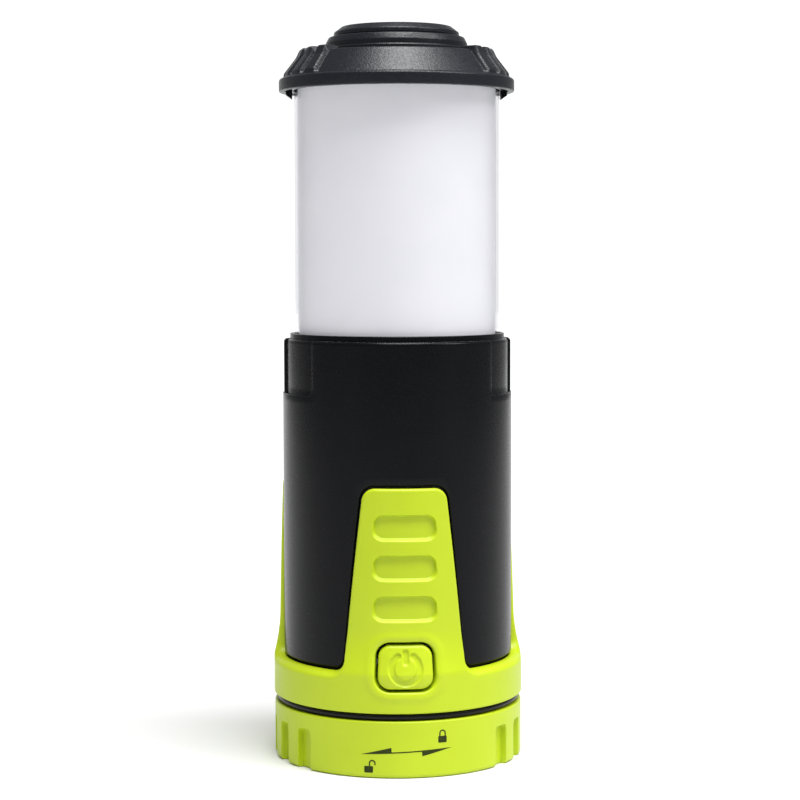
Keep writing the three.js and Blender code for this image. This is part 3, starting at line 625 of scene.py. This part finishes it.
def circuit_board():
    """Green solder mask over copper tracks."""
    finish = Finish("circuit_board")
    cells = finish.node("ShaderNodeTexVoronoi", distance="MANHATTAN", feature="F1")
    cells.inputs["Scale"].default_value = 0.35 / MM
    finish.link(finish.place, cells.inputs["Vector"])
    tracks = finish.range(cells.outputs["Distance"], 0, 1, 0.42, 0.5)
    finish.colour(finish.mix(tracks, linear(24, 84, 48), linear(38, 112, 62)))
    finish.roughness(finish.range(finish.noise(1, 2), 0.28, 0.42))
    finish.bump((tracks, 0.04))
    return finish.material


def led_phosphor():
    finish = Finish("led_phosphor")
    grain = finish.noise(2.5, 3)
    finish.colour(finish.ramp(grain, [(0.3, linear(232, 196, 60)), (0.7, linear(246, 222, 96))]))
    finish.roughness(finish.range(grain, 0.25, 0.45))
    finish.bump((grain, 0.02))
    return finish.material


def cell_jacket():
    """A printed cell sleeve: slate grey with a copper band at the positive end, on glossy film."""
    finish = Finish("cell_jacket")
    split = finish.node("ShaderNodeSeparateXYZ")
    finish.link(finish.place, split.inputs["Vector"])
    band_low = (low("battery_cell_1") * 0.3 + high("battery_cell_1") * 0.7) * MM
    band = finish.range(split.outputs["Z"], 0, 1, band_low, band_low + 0.3 * MM)
    finish.colour(finish.mix(band, linear(58, 70, 84), linear(176, 116, 70)))
    finish.roughness(finish.range(finish.noise(0.4, 2), 0.2, 0.35))
    finish.bump((finish.noise(0.6, 2), 0.02))
    return finish.material


def wire_sleeve(name, dark, light):
    return moulded(name, dark, light, (0.4, 0.6), 2, 0.02, 0.4)


def print_ink():
    """Dark olive pad print, slightly uneven in cover."""
    finish = Finish("print_ink")
    cover = finish.noise(2.5, 3)
    finish.colour(finish.ramp(cover, [(0.35, linear(34, 42, 5)), (0.75, linear(54, 64, 10))]))
    finish.roughness(finish.range(finish.noise(2, 2), 0.45, 0.6))
    finish.set(Specular_IOR_Level=0.2)
    finish.bump((finish.noise(4, 2), 0.01))
    return finish.material


LIME = (lime_plastic(), "lime")
BLACK = (black_plastic(), "body_black")
HEAD = (head_plastic(), "head_charcoal")
FROST = (frosted_plastic(), "diffuser_frost")
CLEAR = (clear_plastic(), "diffuser_clear")
RUBBER = (rubber(), "rubber_black")
WHITE = (white_plastic(), "inner_white")
STEEL = (steel(), "screw_steel")
ALUMINIUM = (aluminium(), "sink_aluminium")
BRASS = (brass(), "contact_brass")
BOARD = (circuit_board(), "board_green")
LED = (led_phosphor(), "led_yellow")
JACKET = (cell_jacket(), "cell_jacket")
RED_WIRE = (wire_sleeve("red_wire", linear(150, 24, 20), linear(182, 38, 30)), "lead_red")
BLACK_WIRE = (wire_sleeve("black_wire", linear(16, 16, 17), linear(30, 30, 31)), "lead_black")
INK = (print_ink(), "body_black")


# ---- Body ---------------------------------------------------------------------------------------

HALF_ROUND = math.pi * WRAP_RADIUS


def round_length(degrees):
    """The distance round the body of an angle from the front."""
    return math.radians(degrees) * WRAP_RADIUS


def frame_radius(z):
    """Outer radius of the grip frame: nearly upright panels that flare out into the collar."""
    share = (z - FLARE_HIGH) / (PANEL_HIGH - FLARE_HIGH)
    panel = PANEL_RADIUS_LOW + (PANEL_RADIUS_HIGH - PANEL_RADIUS_LOW) * np.clip(share, 0, 1)
    flare = np.clip((FLARE_HIGH - z) / (FLARE_HIGH - LEDGE_HIGH), 0, 1) ** FLARE_CURVE
    return panel + (COLLAR_RADIUS - PANEL_RADIUS_LOW) * flare


def skyline():
    """The top outline of the grip frame round the whole body: ledges, fillets and the three panels."""
    end = round_length(PANEL_TURN / 2)
    wide = round_length(PANEL_HALF_LOW)
    narrow = round_length(PANEL_HALF_HIGH)
    third = resampled(rounded([
        (-end, LEDGE_HIGH, 0),
        (-wide, LEDGE_HIGH, PANEL_FILLET),
        (-narrow, PANEL_HIGH, PANEL_CORNER),
        (narrow, PANEL_HIGH, PANEL_CORNER),
        (wide, LEDGE_HIGH, PANEL_FILLET),
        (end, LEDGE_HIGH, 0),
    ], 12), 0.8)
    climb = np.clip((third[:, 1] - LEDGE_HIGH) / (PANEL_HIGH - LEDGE_HIGH), 0, 1)
    third[:, 0] += np.sign(third[:, 0]) * PANEL_BULGE * np.sin(math.pi * climb)
    thirds = [third + (round_length(turn), 0) for turn in (-PANEL_TURN, 0, PANEL_TURN)]
    return np.vstack([thirds[0], thirds[1][1:], thirds[2][1:]])


SKYLINE = skyline()


def above_skyline(points):
    """Distance outside the grip frame's outline, negative inside it."""
    zone = np.vstack([SKYLINE, (HALF_ROUND, 0), (-HALF_ROUND, 0)])
    distance = line_distance(points, SKYLINE)
    off_the_join = points * (0.9999, 1)
    return np.where(within(off_the_join, zone), -distance, distance)


def level(z):
    """A level line once round the body."""
    return resampled(np.array([(-HALF_ROUND, z), (HALF_ROUND, z)], float), 0.8)


def upright(x, low_z, high_z):
    """A line straight up the body."""
    return resampled(np.array([(x, low_z), (x, high_z)], float), 0.8)


def once_round(low_z, top_line):
    """The outline of a sheet that goes once round the body, joined at the back, under a top line."""
    rise = upright(HALF_ROUND, low_z, top_line[-1, 1])
    return np.vstack([
        level(low_z)[:-1],
        rise[:-1],
        top_line[::-1],
        (rise[::-1] * (-1, 1))[1:-1],
    ])


def slot_depth(points, centre):
    """A grip recess: a steep wall at the top and the ends, and a long slope out of it at the bottom."""
    outside = box_distance(points, centre, SLOT_HALF, SLOT_CORNER)
    fall = smooth((centre[1] - points[:, 1]) / SLOT_HALF[1])
    wall = SLOT_WALL_HIGH + (SLOT_WALL_LOW - SLOT_WALL_HIGH) * fall
    return SLOT_DEPTH * (1 - smooth(outside / wall))


def grip_frame():
    """The collar and the three panels in one moulding, with grip recesses and the button's hole."""
    slots = [
        (round_length(turn), z) for turn in (-PANEL_TURN, 0, PANEL_TURN) for z in SLOT_MIDDLES
    ]
    hole_half = (BUTTON_HALF[0] + BUTTON_GAP, BUTTON_HALF[1] + BUTTON_GAP)
    hole_corner = BUTTON_CORNER + BUTTON_GAP
    hole_centre = (0, BUTTON_MIDDLE)

    def outer(points):
        radius = frame_radius(points[:, 1])
        inside = np.maximum(-above_skyline(points), 0)
        radius -= edge_drop(inside, PANEL_EDGE)
        climb = np.sqrt(1 - np.clip(1 - inside / SHOULDER, 0, 1) ** 2)
        shoulder = SHELL_RADIUS + (COLLAR_RADIUS - SHELL_RADIUS) * climb
        radius = np.where(inside < SHOULDER, np.minimum(radius, shoulder), radius)
        radius -= edge_drop(np.maximum(points[:, 1] - COLLAR_LOW, 0), COLLAR_EDGE)
        for centre in slots:
            near = np.abs(points - np.array(centre)).max(axis=1) < SLOT_HALF[0] + SLOT_WALL_LOW
            radius[near] -= slot_depth(points[near], centre)
        beyond = np.maximum(box_distance(points, hole_centre, hole_half, hole_corner), 0)
        swell = np.sin(math.pi * np.clip(beyond / BUTTON_RIM_WIDTH, 0, 1)) ** 1.5
        return radius + BUTTON_RIM * swell - edge_drop(beyond, BUTTON_HOLE_EDGE)

    top_rows = [*edge_offsets(PANEL_EDGE)[1:], *edge_offsets(SHOULDER, 8)[1:]]
    curves = [offset_line(SKYLINE, -d) for d in top_rows]
    curves += [level(COLLAR_LOW + d) for d in [*edge_offsets(COLLAR_EDGE, 4)[1:], 0.7]]
    for centre in slots:
        for offset in SLOT_ROWS:
            curves.append(box_line(centre, SLOT_HALF, SLOT_CORNER, offset))
    for offset in [*edge_offsets(BUTTON_HOLE_EDGE, 5)[1:], 0.75, 1.0, 1.4, 1.9, 2.4, 2.9]:
        curves.append(box_line(hole_centre, hole_half, hole_corner, offset))
    hole = box_line(hole_centre, hole_half, hole_corner)
    sheet = filled(once_round(COLLAR_LOW, SKYLINE), curves, [hole], 0.95)
    inside = at_radius(FRAME_INSIDE)
    slab("grip_frame_moulding", *sheet, outer, inside, LIME, "lantern_body", ["grip_frame"])


def body_shell():
    """The black shell, sunk under the grip frame, with two finger pockets at the mouth."""
    pockets = [round_length(angle) for angle in POCKET_ANGLES]
    pocket_half = round_length(POCKET_HALF)
    crest, foot = 0.5, 0.2  # roundings at the top and the foot of a recess's walls
    tall = 20  # the pockets' outlines run on above the mouth
    window_half = (BUTTON_HALF[0] + 1.95, BUTTON_HALF[1] + 1.75)

    def outer(points):
        outside = above_skyline(points) - PANEL_GAP
        radius = SHELL_RADIUS - step_down(outside, SHELL_RADIUS - FRAME_SEAT, crest, foot)
        for centre in pockets:
            side = np.abs(points[:, 0] - centre)
            near = side < pocket_half + 1
            middle = (centre, POCKET_LOW + tall)
            box = box_distance(points[near], middle, (pocket_half, tall), POCKET_CORNER)
            pocket = step_down(box, POCKET_DEPTH, crest, foot)
            rib = step_down(RIB_HALF - side[near], POCKET_DEPTH - RIB_DEPTH, crest, foot)
            radius[near] -= np.minimum(pocket, RIB_DEPTH * (box < 0) + rib)
        return radius - edge_drop(np.maximum(SHELL_HIGH - points[:, 1], 0), SHELL_CHAMFER)

    def inner(points):
        bore = np.where(points[:, 1] > MOUTH_LOW, MOUTH_RADIUS + 0.15, SHELL_BORE)
        for centre in pockets:
            in_notch = (np.abs(points[:, 0] - centre) < NOTCH_HALF) & (points[:, 1] > NOTCH_LOW)
            bore = np.where(in_notch, NOTCH_RADIUS, bore)
        return bore

    curves = [offset_line(SKYLINE, PANEL_GAP + d) for d in step_offsets(crest, foot)]
    curves += [level(SHELL_HIGH - d) for d in [*edge_offsets(SHELL_CHAMFER)[1:], 1.1]]
    curves += [level(MOUTH_LOW - 0.01), level(MOUTH_LOW + 0.01)]
    for centre in pockets:
        for offset in step_offsets(crest, foot):
            half, floor = pocket_half + offset, POCKET_LOW - offset
            curves.append(resampled(rounded([
                (centre - half, SHELL_HIGH, 0),
                (centre - half, floor, POCKET_CORNER + offset),
                (centre + half, floor, POCKET_CORNER + offset),
                (centre + half, SHELL_HIGH, 0),
            ], 8), 0.8))
            for side in (-1, 1):
                curves.append(upright(centre + side * (RIB_HALF - offset), POCKET_LOW, SHELL_HIGH))
        for reach in (NOTCH_HALF - 0.01, NOTCH_HALF + 0.01):
            base = NOTCH_LOW + NOTCH_HALF - reach
            curves.append(resampled(np.array([
                (centre - reach, SHELL_HIGH),
                (centre - reach, base),
                (centre + reach, base),
                (centre + reach, SHELL_HIGH),
            ], float), 0.8))
    window = box_line((0, BUTTON_MIDDLE), window_half, BUTTON_CORNER)
    sheet = filled(once_round(SHELL_LOW, level(SHELL_HIGH)), curves, [window], 1.5)
    slab("body_shell_moulding", *sheet, outer, inner, BLACK, "lantern_body", ["body_shell"])


def power_button():
    """The button's face: a soft pillow with a power sign sunk into it."""
    centre = (0, BUTTON_MIDDLE)
    sign_low = 0.3  # how far the sign's circle lies below the button's middle
    sign_radius = 3.65
    stroke = 0.8  # half the width of the sign's lines
    sink = 0.5
    gap_half = math.radians(33)

    def sign(points):
        """How deep into the sign's lines each point is, from 0 to 1."""
        x = points[:, 0] * COLLAR_RADIUS / WRAP_RADIUS
        y = points[:, 1] - BUTTON_MIDDLE + sign_low
        angle = np.abs(np.arctan2(x, y))
        ring = np.abs(np.hypot(x, y) - sign_radius) - stroke
        end = sign_radius * np.array((math.sin(gap_half), math.cos(gap_half)))
        tip = np.hypot(np.abs(x) - end[0], y - end[1]) - stroke
        ring = np.where(angle < gap_half, tip, ring)
        bar = np.hypot(x, y - np.clip(y, 1.7, 4.0)) - stroke
        return smooth((0.25 - np.minimum(ring, bar)) / 0.5)

    def outer(points):
        inside = np.maximum(-box_distance(points, centre, BUTTON_HALF, BUTTON_CORNER), 0)
        pillow = 0.25 * smooth(inside / 4) - 0.1
        face = frame_radius(points[:, 1]) + pillow - edge_drop(inside, BUTTON_EDGE)
        return face - sink * sign(points)

    outline = box_line(centre, BUTTON_HALF, BUTTON_CORNER, 0, 0.3)[:-1]
    rows = [*edge_offsets(BUTTON_EDGE)[1:], 1.2]
    curves = [box_line(centre, BUTTON_HALF, BUTTON_CORNER, -d, 0.35) for d in rows]
    sheet = filled(outline, curves, [], 0.24)
    slab("power_button_cap", *sheet, outer, at_radius(BUTTON_BACK), LIME, "button", ["power_button"])


def ring_section(inner, outer, low_z, high_z, low_edge, high_edge):
    """A closed rectangular section with rounded edges."""
    return rounded([
        (inner, low_z, low_edge),
        (outer, low_z, low_edge),
        (outer, high_z, high_edge),
        (inner, high_z, high_edge),
        (inner, low_z, 0),
    ])[:-1]


def mouth_ring():
    """The lining at the mouth, with notches for the head's lugs."""
    profile = ring_section(TUBE_RADIUS + SLIDE_GAP, MOUTH_RADIUS, MOUTH_LOW, MOUTH_HIGH, 0.1, 0.25)
    reach = math.degrees(NOTCH_HALF / MOUTH_RADIUS)
    edges = [side + d for side in POCKET_ANGLES for d in (-reach, reach)]
    walls = [edge + d for edge in edges for d in (-0.02, 0.02)]
    angles = np.unique(np.concatenate([np.arange(-180, 180, 1.5), walls]))

    def notched(angle, section):
        if min(abs(angle - side) for side in POCKET_ANGLES) > reach:
            return section
        return np.minimum(section, (np.inf, NOTCH_LOW))

    turned("mouth_ring_moulding", profile, BLACK, "lantern_body", ["mouth_ring"],
           angles, notched, True)


def seal():
    """The round-faced rubber ring between the collar and the cap."""
    low_z, high_z = CAP_HIGH + 0.1, COLLAR_LOW - 0.1
    profile = rounded([
        (CAP_BORE, low_z, 0),
        (front("cap_seal"), low_z, 0.85),
        (front("cap_seal"), high_z, 0.85),
        (CAP_BORE, high_z, 0),
    ], 10)
    turned("cap_seal_ring", profile, RUBBER, "lantern_body", ["cap_seal"], closed=True)


# ---- Base cap -----------------------------------------------------------------------------------


def cap_profile(radius, rounding):
    """The cap's section from the underside's centre, up the wall and down the bore."""
    return rounded([
        (0, CAP_RECESS_DEPTH, 0),
        (CAP_RECESS, CAP_RECESS_DEPTH, 0.3),
        (CAP_RECESS + CAP_RECESS_DEPTH, 0, 0.3),
        (radius, 0, rounding),
        (radius, 6, 0),
        (radius, CAP_HIGH, 0.45),
        (CAP_BORE, CAP_HIGH, 0.3),
        (CAP_BORE, CAP_FLOOR, 0.5),
        (0, CAP_FLOOR, 0),
    ])


def fine_rows(profile, step):
    """A profile with extra rows where its points are far apart on the outer wall."""
    rows = [profile[0]]
    for a, b in zip(profile[:-1], profile[1:]):
        tall = min(a[0], b[0]) > CAP_BORE + 0.9 and abs(b[1] - a[1]) > step
        count = math.ceil(abs(b[1] - a[1]) / step) if tall else 1
        rows.extend(a + (b - a) * k / count for k in range(1, count + 1))
    return np.array(rows)


def base_cap():
    """The twist-off cap, with upright grooves everywhere but at the front."""
    tooth = cap_profile(CAP_RADIUS, 1.0)
    sunk = cap_profile(CAP_RADIUS - GRIP_DEPTH, 0.45)
    both = fine_rows(np.hstack([tooth, sunk]), 0.3)
    tooth, sunk = both[:, :2], both[:, 2:]
    centres = [GRIP_PITCH * k for k in range(GRIP_FIRST, GRIP_LAST + 1)]
    across = [0, 0.6, 1.2, 1.7, *np.arange(2.15, 2.75, 0.05), 3.0]
    angles = fine_angles(np.arange(0, 360, 1.5), centres, across, CAP_RADIUS, 6)

    def grooved(angle, section):
        beside = math.radians(min(abs(angle - c) for c in centres)) * CAP_RADIUS
        points = np.stack([np.full(len(tooth), beside), tooth[:, 1]], axis=1)
        outside = box_distance(points, (0, GRIP_HIGH - 20), (GRIP_HALF, 20), 1.6)
        share = smooth((0.15 - outside) / 0.35)[:, None]
        return tooth * (1 - share) + sunk * share

    turned("base_cap_moulding", tooth, LIME, "cap", ["base_cap"], angles, grooved)


def print_patch(name, line):
    """Ink a few hundredths of a millimetre proud of the cap, over a flat closed outline."""
    outline = resampled(np.vstack([line, line[:1]]), 0.5)[:-1]
    sheet = filled(outline, [], [], 0.6)
    top, under = at_radius(CAP_RADIUS + 0.035), at_radius(CAP_RADIUS - 0.03)
    slab(name, *sheet, top, under, INK, "cap", wrap=CAP_RADIUS)


def turn_arrow():
    """A two-ended arrow with half barbs, climbing a little to the right."""
    tilt = math.atan2(1.2, 23.7)
    half = 11.9
    barb_long, barb_wide, shaft = 8.0, 1.35, 0.17
    shape = np.array([
        (-half, -0.1),
        (half - barb_long, -shaft),
        (half - barb_long, -barb_wide),
        (half, 0.1),
        (-half + barb_long, shaft),
        (-half + barb_long, barb_wide),
    ])
    turn = np.array([(math.cos(tilt), math.sin(tilt)), (-math.sin(tilt), math.cos(tilt))])
    return shape @ turn + (0.25, 6.9)


def padlock(centre, is_open):
    """Body and shackle outlines of a small padlock sign."""
    x, y = centre
    body = box_line((x, y - 0.75), (1.15, 0.85), 0.25)[:-1]
    swing = 0.95 if is_open else 0.0
    radius, stroke, leg = 0.72, 0.17, 0.75
    left = x - radius + swing
    line = []
    for side in (1, -1):
        reach = radius + side * stroke
        arc = [math.pi * k / 10 for k in range(11)][::side]
        middle = left + radius
        foot = y + 0.1
        short = leg * (0.45 if is_open else 0)
        first = (middle + reach, foot + short)
        last = (middle - reach, foot)
        bend = [(middle + reach * math.cos(a), foot + leg + reach * math.sin(a)) for a in arc]
        line += [first, *bend, last] if side == 1 else [last, *bend, first]
    return body, np.array(line)


def cap_print():
    """The turning arrow with an open padlock at its left end and a closed one at its right end."""
    print_patch("turn_arrow_print", turn_arrow())
    for name, centre, is_open in (("open", (-9.6, 3.1), True), ("closed", (9.6, 10.6), False)):
        body, shackle = padlock(centre, is_open)
        print_patch(f"lock_{name}_body_print", body)
        print_patch(f"lock_{name}_shackle_print", shackle)


# ---- Diffuser and head --------------------------------------------------------------------------


def diffuser():
    """A clear wall with a frosted sleeve just inside it."""
    tube = rounded([
        (TUBE_BORE, TUBE_LOW, 0.1),
        (TUBE_RADIUS, TUBE_LOW, 0.2),
        (TUBE_RADIUS, TUBE_HIGH, 0.2),
        (TUBE_BORE, TUBE_HIGH, 0.1),
        (TUBE_BORE, TUBE_LOW, 0),
    ])[:-1]
    turned("diffuser_tube_wall", tube, CLEAR, "diffuser_head", ["diffuser_tube"], closed=True)
    sleeve = ring_section(SLEEVE_RADIUS - 1, TUBE_BORE - 0.1, TUBE_LOW, TUBE_HIGH, 0.1, 0.1)
    turned("diffuser_sleeve_wall", sleeve, FROST, "diffuser_head", ["diffuser_sleeve"], closed=True)


def skirt_profile():
    """The head skirt's section: ceiling, tube seat, lip, cone and the plateau under the crown."""
    corners = rounded([
        (0, HEAD_CEILING, 0),
        (HEAD_BORE, HEAD_CEILING, 0.3),
        (HEAD_BORE, GASKET_SEAT, 0.2),
        (TUBE_RADIUS + SLIDE_GAP, GASKET_SEAT, 0.2),
        (TUBE_RADIUS + SLIDE_GAP, LIP_BORE_HIGH, 0.2),
        (LIP_BORE, LIP_BORE_HIGH, 0.2),
        (LIP_BORE, LIP_LOW, 0.25),
        (LIP_RADIUS, LIP_LOW, 0.3),
        (LIP_RADIUS, CONE_LOW - 0.1, 0.75),
        (CONE_LOW_RADIUS, CONE_LOW + 0.05, 0.3),
        (CONE_HIGH_RADIUS, CONE_HIGH, 0.6),
        (CROWN_RADIUS - 1, CONE_HIGH, 0),
        (0, CONE_HIGH, 0),
    ])
    rows = [corners[0]]
    for a, b in zip(corners[:-1], corners[1:]):
        on_cone = min(a[1], b[1]) > CONE_LOW and min(a[0], b[0]) > CROWN_RADIUS - 1.2
        count = math.ceil(np.linalg.norm(b - a) / 0.3) if on_cone else 1
        rows.extend(a + (b - a) * k / count for k in range(1, count + 1))
    return np.array(rows)


def head_skirt():
    """The ribbed cone with its lip. Grip ribs stand proud at both sides, between grooves."""
    profile = skirt_profile()
    slope = math.atan2(CONE_LOW_RADIUS - CONE_HIGH_RADIUS, CONE_HIGH - CONE_LOW)
    outward = np.array((math.cos(slope), math.sin(slope)))
    mean_radius = (CONE_LOW_RADIUS + CONE_HIGH_RADIUS) / 2
    reach_of_ribs = (HEAD_GROOVES - 1) / 2 * HEAD_PITCH
    places = [k * HEAD_PITCH - reach_of_ribs for k in range(HEAD_GROOVES)]
    grooves = [side + place for side in POCKET_ANGLES for place in places]
    climb = (profile[:, 1] - CONE_LOW) / (CONE_HIGH - CONE_LOW)
    on_outside = (profile[:, 0] > CROWN_RADIUS) & (profile[:, 1] > CONE_LOW - 0.05)
    foot = smooth((climb - 0.02) / 0.16)
    end = smooth((profile[:, 0] - CROWN_RADIUS - 0.6) / 1.2)
    strength = np.where(on_outside, foot * end, 0)[:, None]
    on_top = np.where(on_outside, end * smooth((CONE_HIGH_RADIUS + 1.2 - profile[:, 0]) / 1.6), 0)
    raised = on_top[:, None] * (0, HEAD_RIB_SHOULDER)
    across = (0, 0.25, 0.45, 0.6, 0.75, 0.9, 1.05, 1.2, 1.35, 1.55, 1.8, 2.2)
    angles = fine_angles(np.arange(-180, 180, 1.5), grooves, across, mean_radius, 4.6)

    def ribbed(angle, section):
        beside = math.radians(min(abs(angle - g) for g in grooves)) * mean_radius
        among_ribs = min(abs(angle - side) for side in POCKET_ANGLES) < reach_of_ribs
        crest = HEAD_RIB_RISE * float(smooth((beside - 0.7) / 1.0)) if among_ribs else 0.0
        groove = HEAD_GROOVE_DEPTH * float(1 - smooth((beside - 0.35) / 0.75))
        return section + outward * (crest - groove) * strength + raised * crest / HEAD_RIB_RISE

    turned("head_skirt_moulding", profile, HEAD, "diffuser_head", ["head_skirt"], angles, ribbed)


def crown():
    """The stepped ring on the skirt's flat top, and the disc in it."""
    ring = rounded([
        (0, CONE_HIGH + 0.05, 0),
        (CROWN_RADIUS + 0.1, CONE_HIGH + 0.05, 0.2),
        (CROWN_RADIUS + 0.1, CROWN_LOW + 0.9, 0.3),
        (CROWN_RADIUS - 0.15, CROWN_LOW + 1.15, 0.2),
        (CROWN_RADIUS - 0.15, CROWN_LOW + 2.4, 0.6),
        (DISC_RADIUS + 1.3, CROWN_HIGH - 0.4, 0.6),
        (DISC_RADIUS + 0.15, CROWN_HIGH - 0.4, 0.1),
        (DISC_RADIUS + 0.15, DISC_LOW - 0.3, 0.1),
        (0, DISC_LOW - 0.3, 0),
    ])
    turned("crown_ring_moulding", ring, HEAD, "diffuser_head", ["crown_ring"])
    disc = rounded([
        (0, DISC_LOW, 0),
        (DISC_RADIUS, DISC_LOW, 0.2),
        (DISC_RADIUS - 0.1, DISC_HIGH - 1.5, 0.5),
        (DISC_RADIUS - 2.1, DISC_HIGH, 0.7),
        (0, DISC_HIGH, 0),
    ])
    turned("top_disc_moulding", disc, HEAD, "diffuser_head", ["top_disc"])


# ---- Pieces that keep their CAD shape -----------------------------------------------------------

CARRIED = {
    "latch_ring": BLACK,
    "friction_ring": RUBBER,
    "head_gasket": RUBBER,
    "stop_ring": BLACK,
    "tact_switch": BLACK,
    "switch_plunger": BLACK,
    "switch_board": BOARD,
    "battery_holder": BLACK,
    "battery_cell": JACKET,
    "contact_spring": STEEL,
    "top_contact": BRASS,
    "contact_disc": BLACK,
    "bridge_plate": BRASS,
    "end_plate": BRASS,
    "core_tube": WHITE,
    "core_cover": WHITE,
    "heat_sink": ALUMINIUM,
    "led_board": BOARD,
    "led_lead_left": RED_WIRE,
    "led_lead_right": BLACK_WIRE,
    "switch_lead_left": RED_WIRE,
    "switch_lead_right": BLACK_WIRE,
    "driver_board": BOARD,
    "driver_coil": BLACK,
    "head_reflector": WHITE,
    "led_": LED,
    "holder_screw": STEEL,
    "switch_screw": STEEL,
    "core_screw": STEEL,
    "board_screw": STEEL,
    "head_screw": STEEL,
}


def paint_carried_nodes():
    """Gives every node that no piece stands for its material."""
    for name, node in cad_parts.items():
        if node.hide_render:
            continue
        start = next(s for s in CARRIED if name.startswith(s))
        material, slot = CARRIED[start]
        if not node.material_slots:
            node.data.materials.append(material)
        for place in node.material_slots:
            place.material = material
    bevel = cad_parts["latch_ring"].modifiers.new("soft_edges", "BEVEL")
    bevel.width = 0.2 * MM
    bevel.segments = 3
    bevel.limit_method = "ANGLE"


# ---- Studio -------------------------------------------------------------------------------------


def camera():
    """A long lens, a little left of the front and above the middle, that looks slightly down."""
    distance = 0.5721
    height = 0.1346
    round_left = math.radians(3.5)
    yaw = math.radians(0.083)
    pitch = math.radians(4.0)
    roll = math.radians(0.127)
    data = bpy.data.cameras.new("camera")
    data.sensor_width = 36
    data.lens = 96.56
    data.clip_start = 0.01
    made = bpy.data.objects.new("camera", data)
    made.location = (-distance * math.sin(round_left), -distance * math.cos(round_left), height)
    made.rotation_euler = (math.pi / 2 - pitch, roll, -(yaw + round_left))
    bpy.context.scene.collection.objects.link(made)
    bpy.context.scene.camera = made


def sun(name, round_right, height, spread, power):
    """A broad distant light, at angles to the right of the front and above the floor, in degrees."""
    data = bpy.data.lights.new(name, "SUN")
    data.angle = math.radians(spread)
    data.energy = power
    light = bpy.data.objects.new(name, data)
    light.rotation_euler = (math.radians(90 - height), 0, math.radians(round_right))
    bpy.context.scene.collection.objects.link(light)


def surroundings():
    """White paper behind the object and a dark room in front. The camera sees only the paper."""
    world = bpy.data.worlds.new("studio")
    bpy.context.scene.world = world
    world.use_nodes = True
    nodes = world.node_tree.nodes
    links = world.node_tree.links
    direction = nodes.new("ShaderNodeSeparateXYZ")
    links.new(nodes.new("ShaderNodeTexCoord").outputs["Generated"], direction.inputs["Vector"])
    behind = nodes.new("ShaderNodeMapRange")
    behind.interpolation_type = "SMOOTHSTEP"
    behind.inputs["From Min"].default_value = PAPER_FROM
    behind.inputs["From Max"].default_value = 1.0
    behind.inputs["To Min"].default_value = ROOM_LIGHT
    behind.inputs["To Max"].default_value = PAPER_LIGHT
    links.new(direction.outputs["Y"], behind.inputs["Value"])
    strength = nodes.new("ShaderNodeMapRange")
    strength.inputs["To Max"].default_value = PAPER_SEEN
    links.new(nodes.new("ShaderNodeLightPath").outputs["Is Camera Ray"], strength.inputs["Value"])
    links.new(behind.outputs["Result"], strength.inputs["To Min"])
    background = nodes["Background"]
    background.inputs["Color"].default_value = (1, 1, 1, 1)
    links.new(strength.outputs["Result"], background.inputs["Strength"])


def paper_floor():
    """A strip of pale paper, longer behind the object than in front of it, in metres."""
    side, ahead, behind = 0.95, 0.8, 4
    corners = [(-side, -ahead, 0), (side, -ahead, 0), (side, behind, 0), (-side, behind, 0)]
    mesh = bpy.data.meshes.new("floor")
    mesh.from_pydata(corners, [], [(0, 1, 2, 3)])
    floor = bpy.data.objects.new("floor", mesh)
    finish = Finish("floor_paper")
    shade = finish.noise(0.002, 2)
    finish.colour(finish.ramp(shade, [(0.3, linear(218, 218, 218)), (0.7, linear(221, 221, 221))]))
    finish.set(Roughness=0.9, Specular_IOR_Level=0.1)
    mesh.materials.append(finish.material)
    bpy.context.scene.collection.objects.link(floor)


def studio():
    surroundings()
    sun("top_light", 18, 76, 34, 4.1)
    sun("right_light", 66, 44, 26, 1.3)
    bpy.context.scene.view_settings.view_transform = "Standard"
    paper_floor()


camera()
grip_frame()
body_shell()
power_button()
mouth_ring()
seal()
base_cap()
cap_print()
diffuser()
head_skirt()
crown()
paint_carried_nodes()
studio()
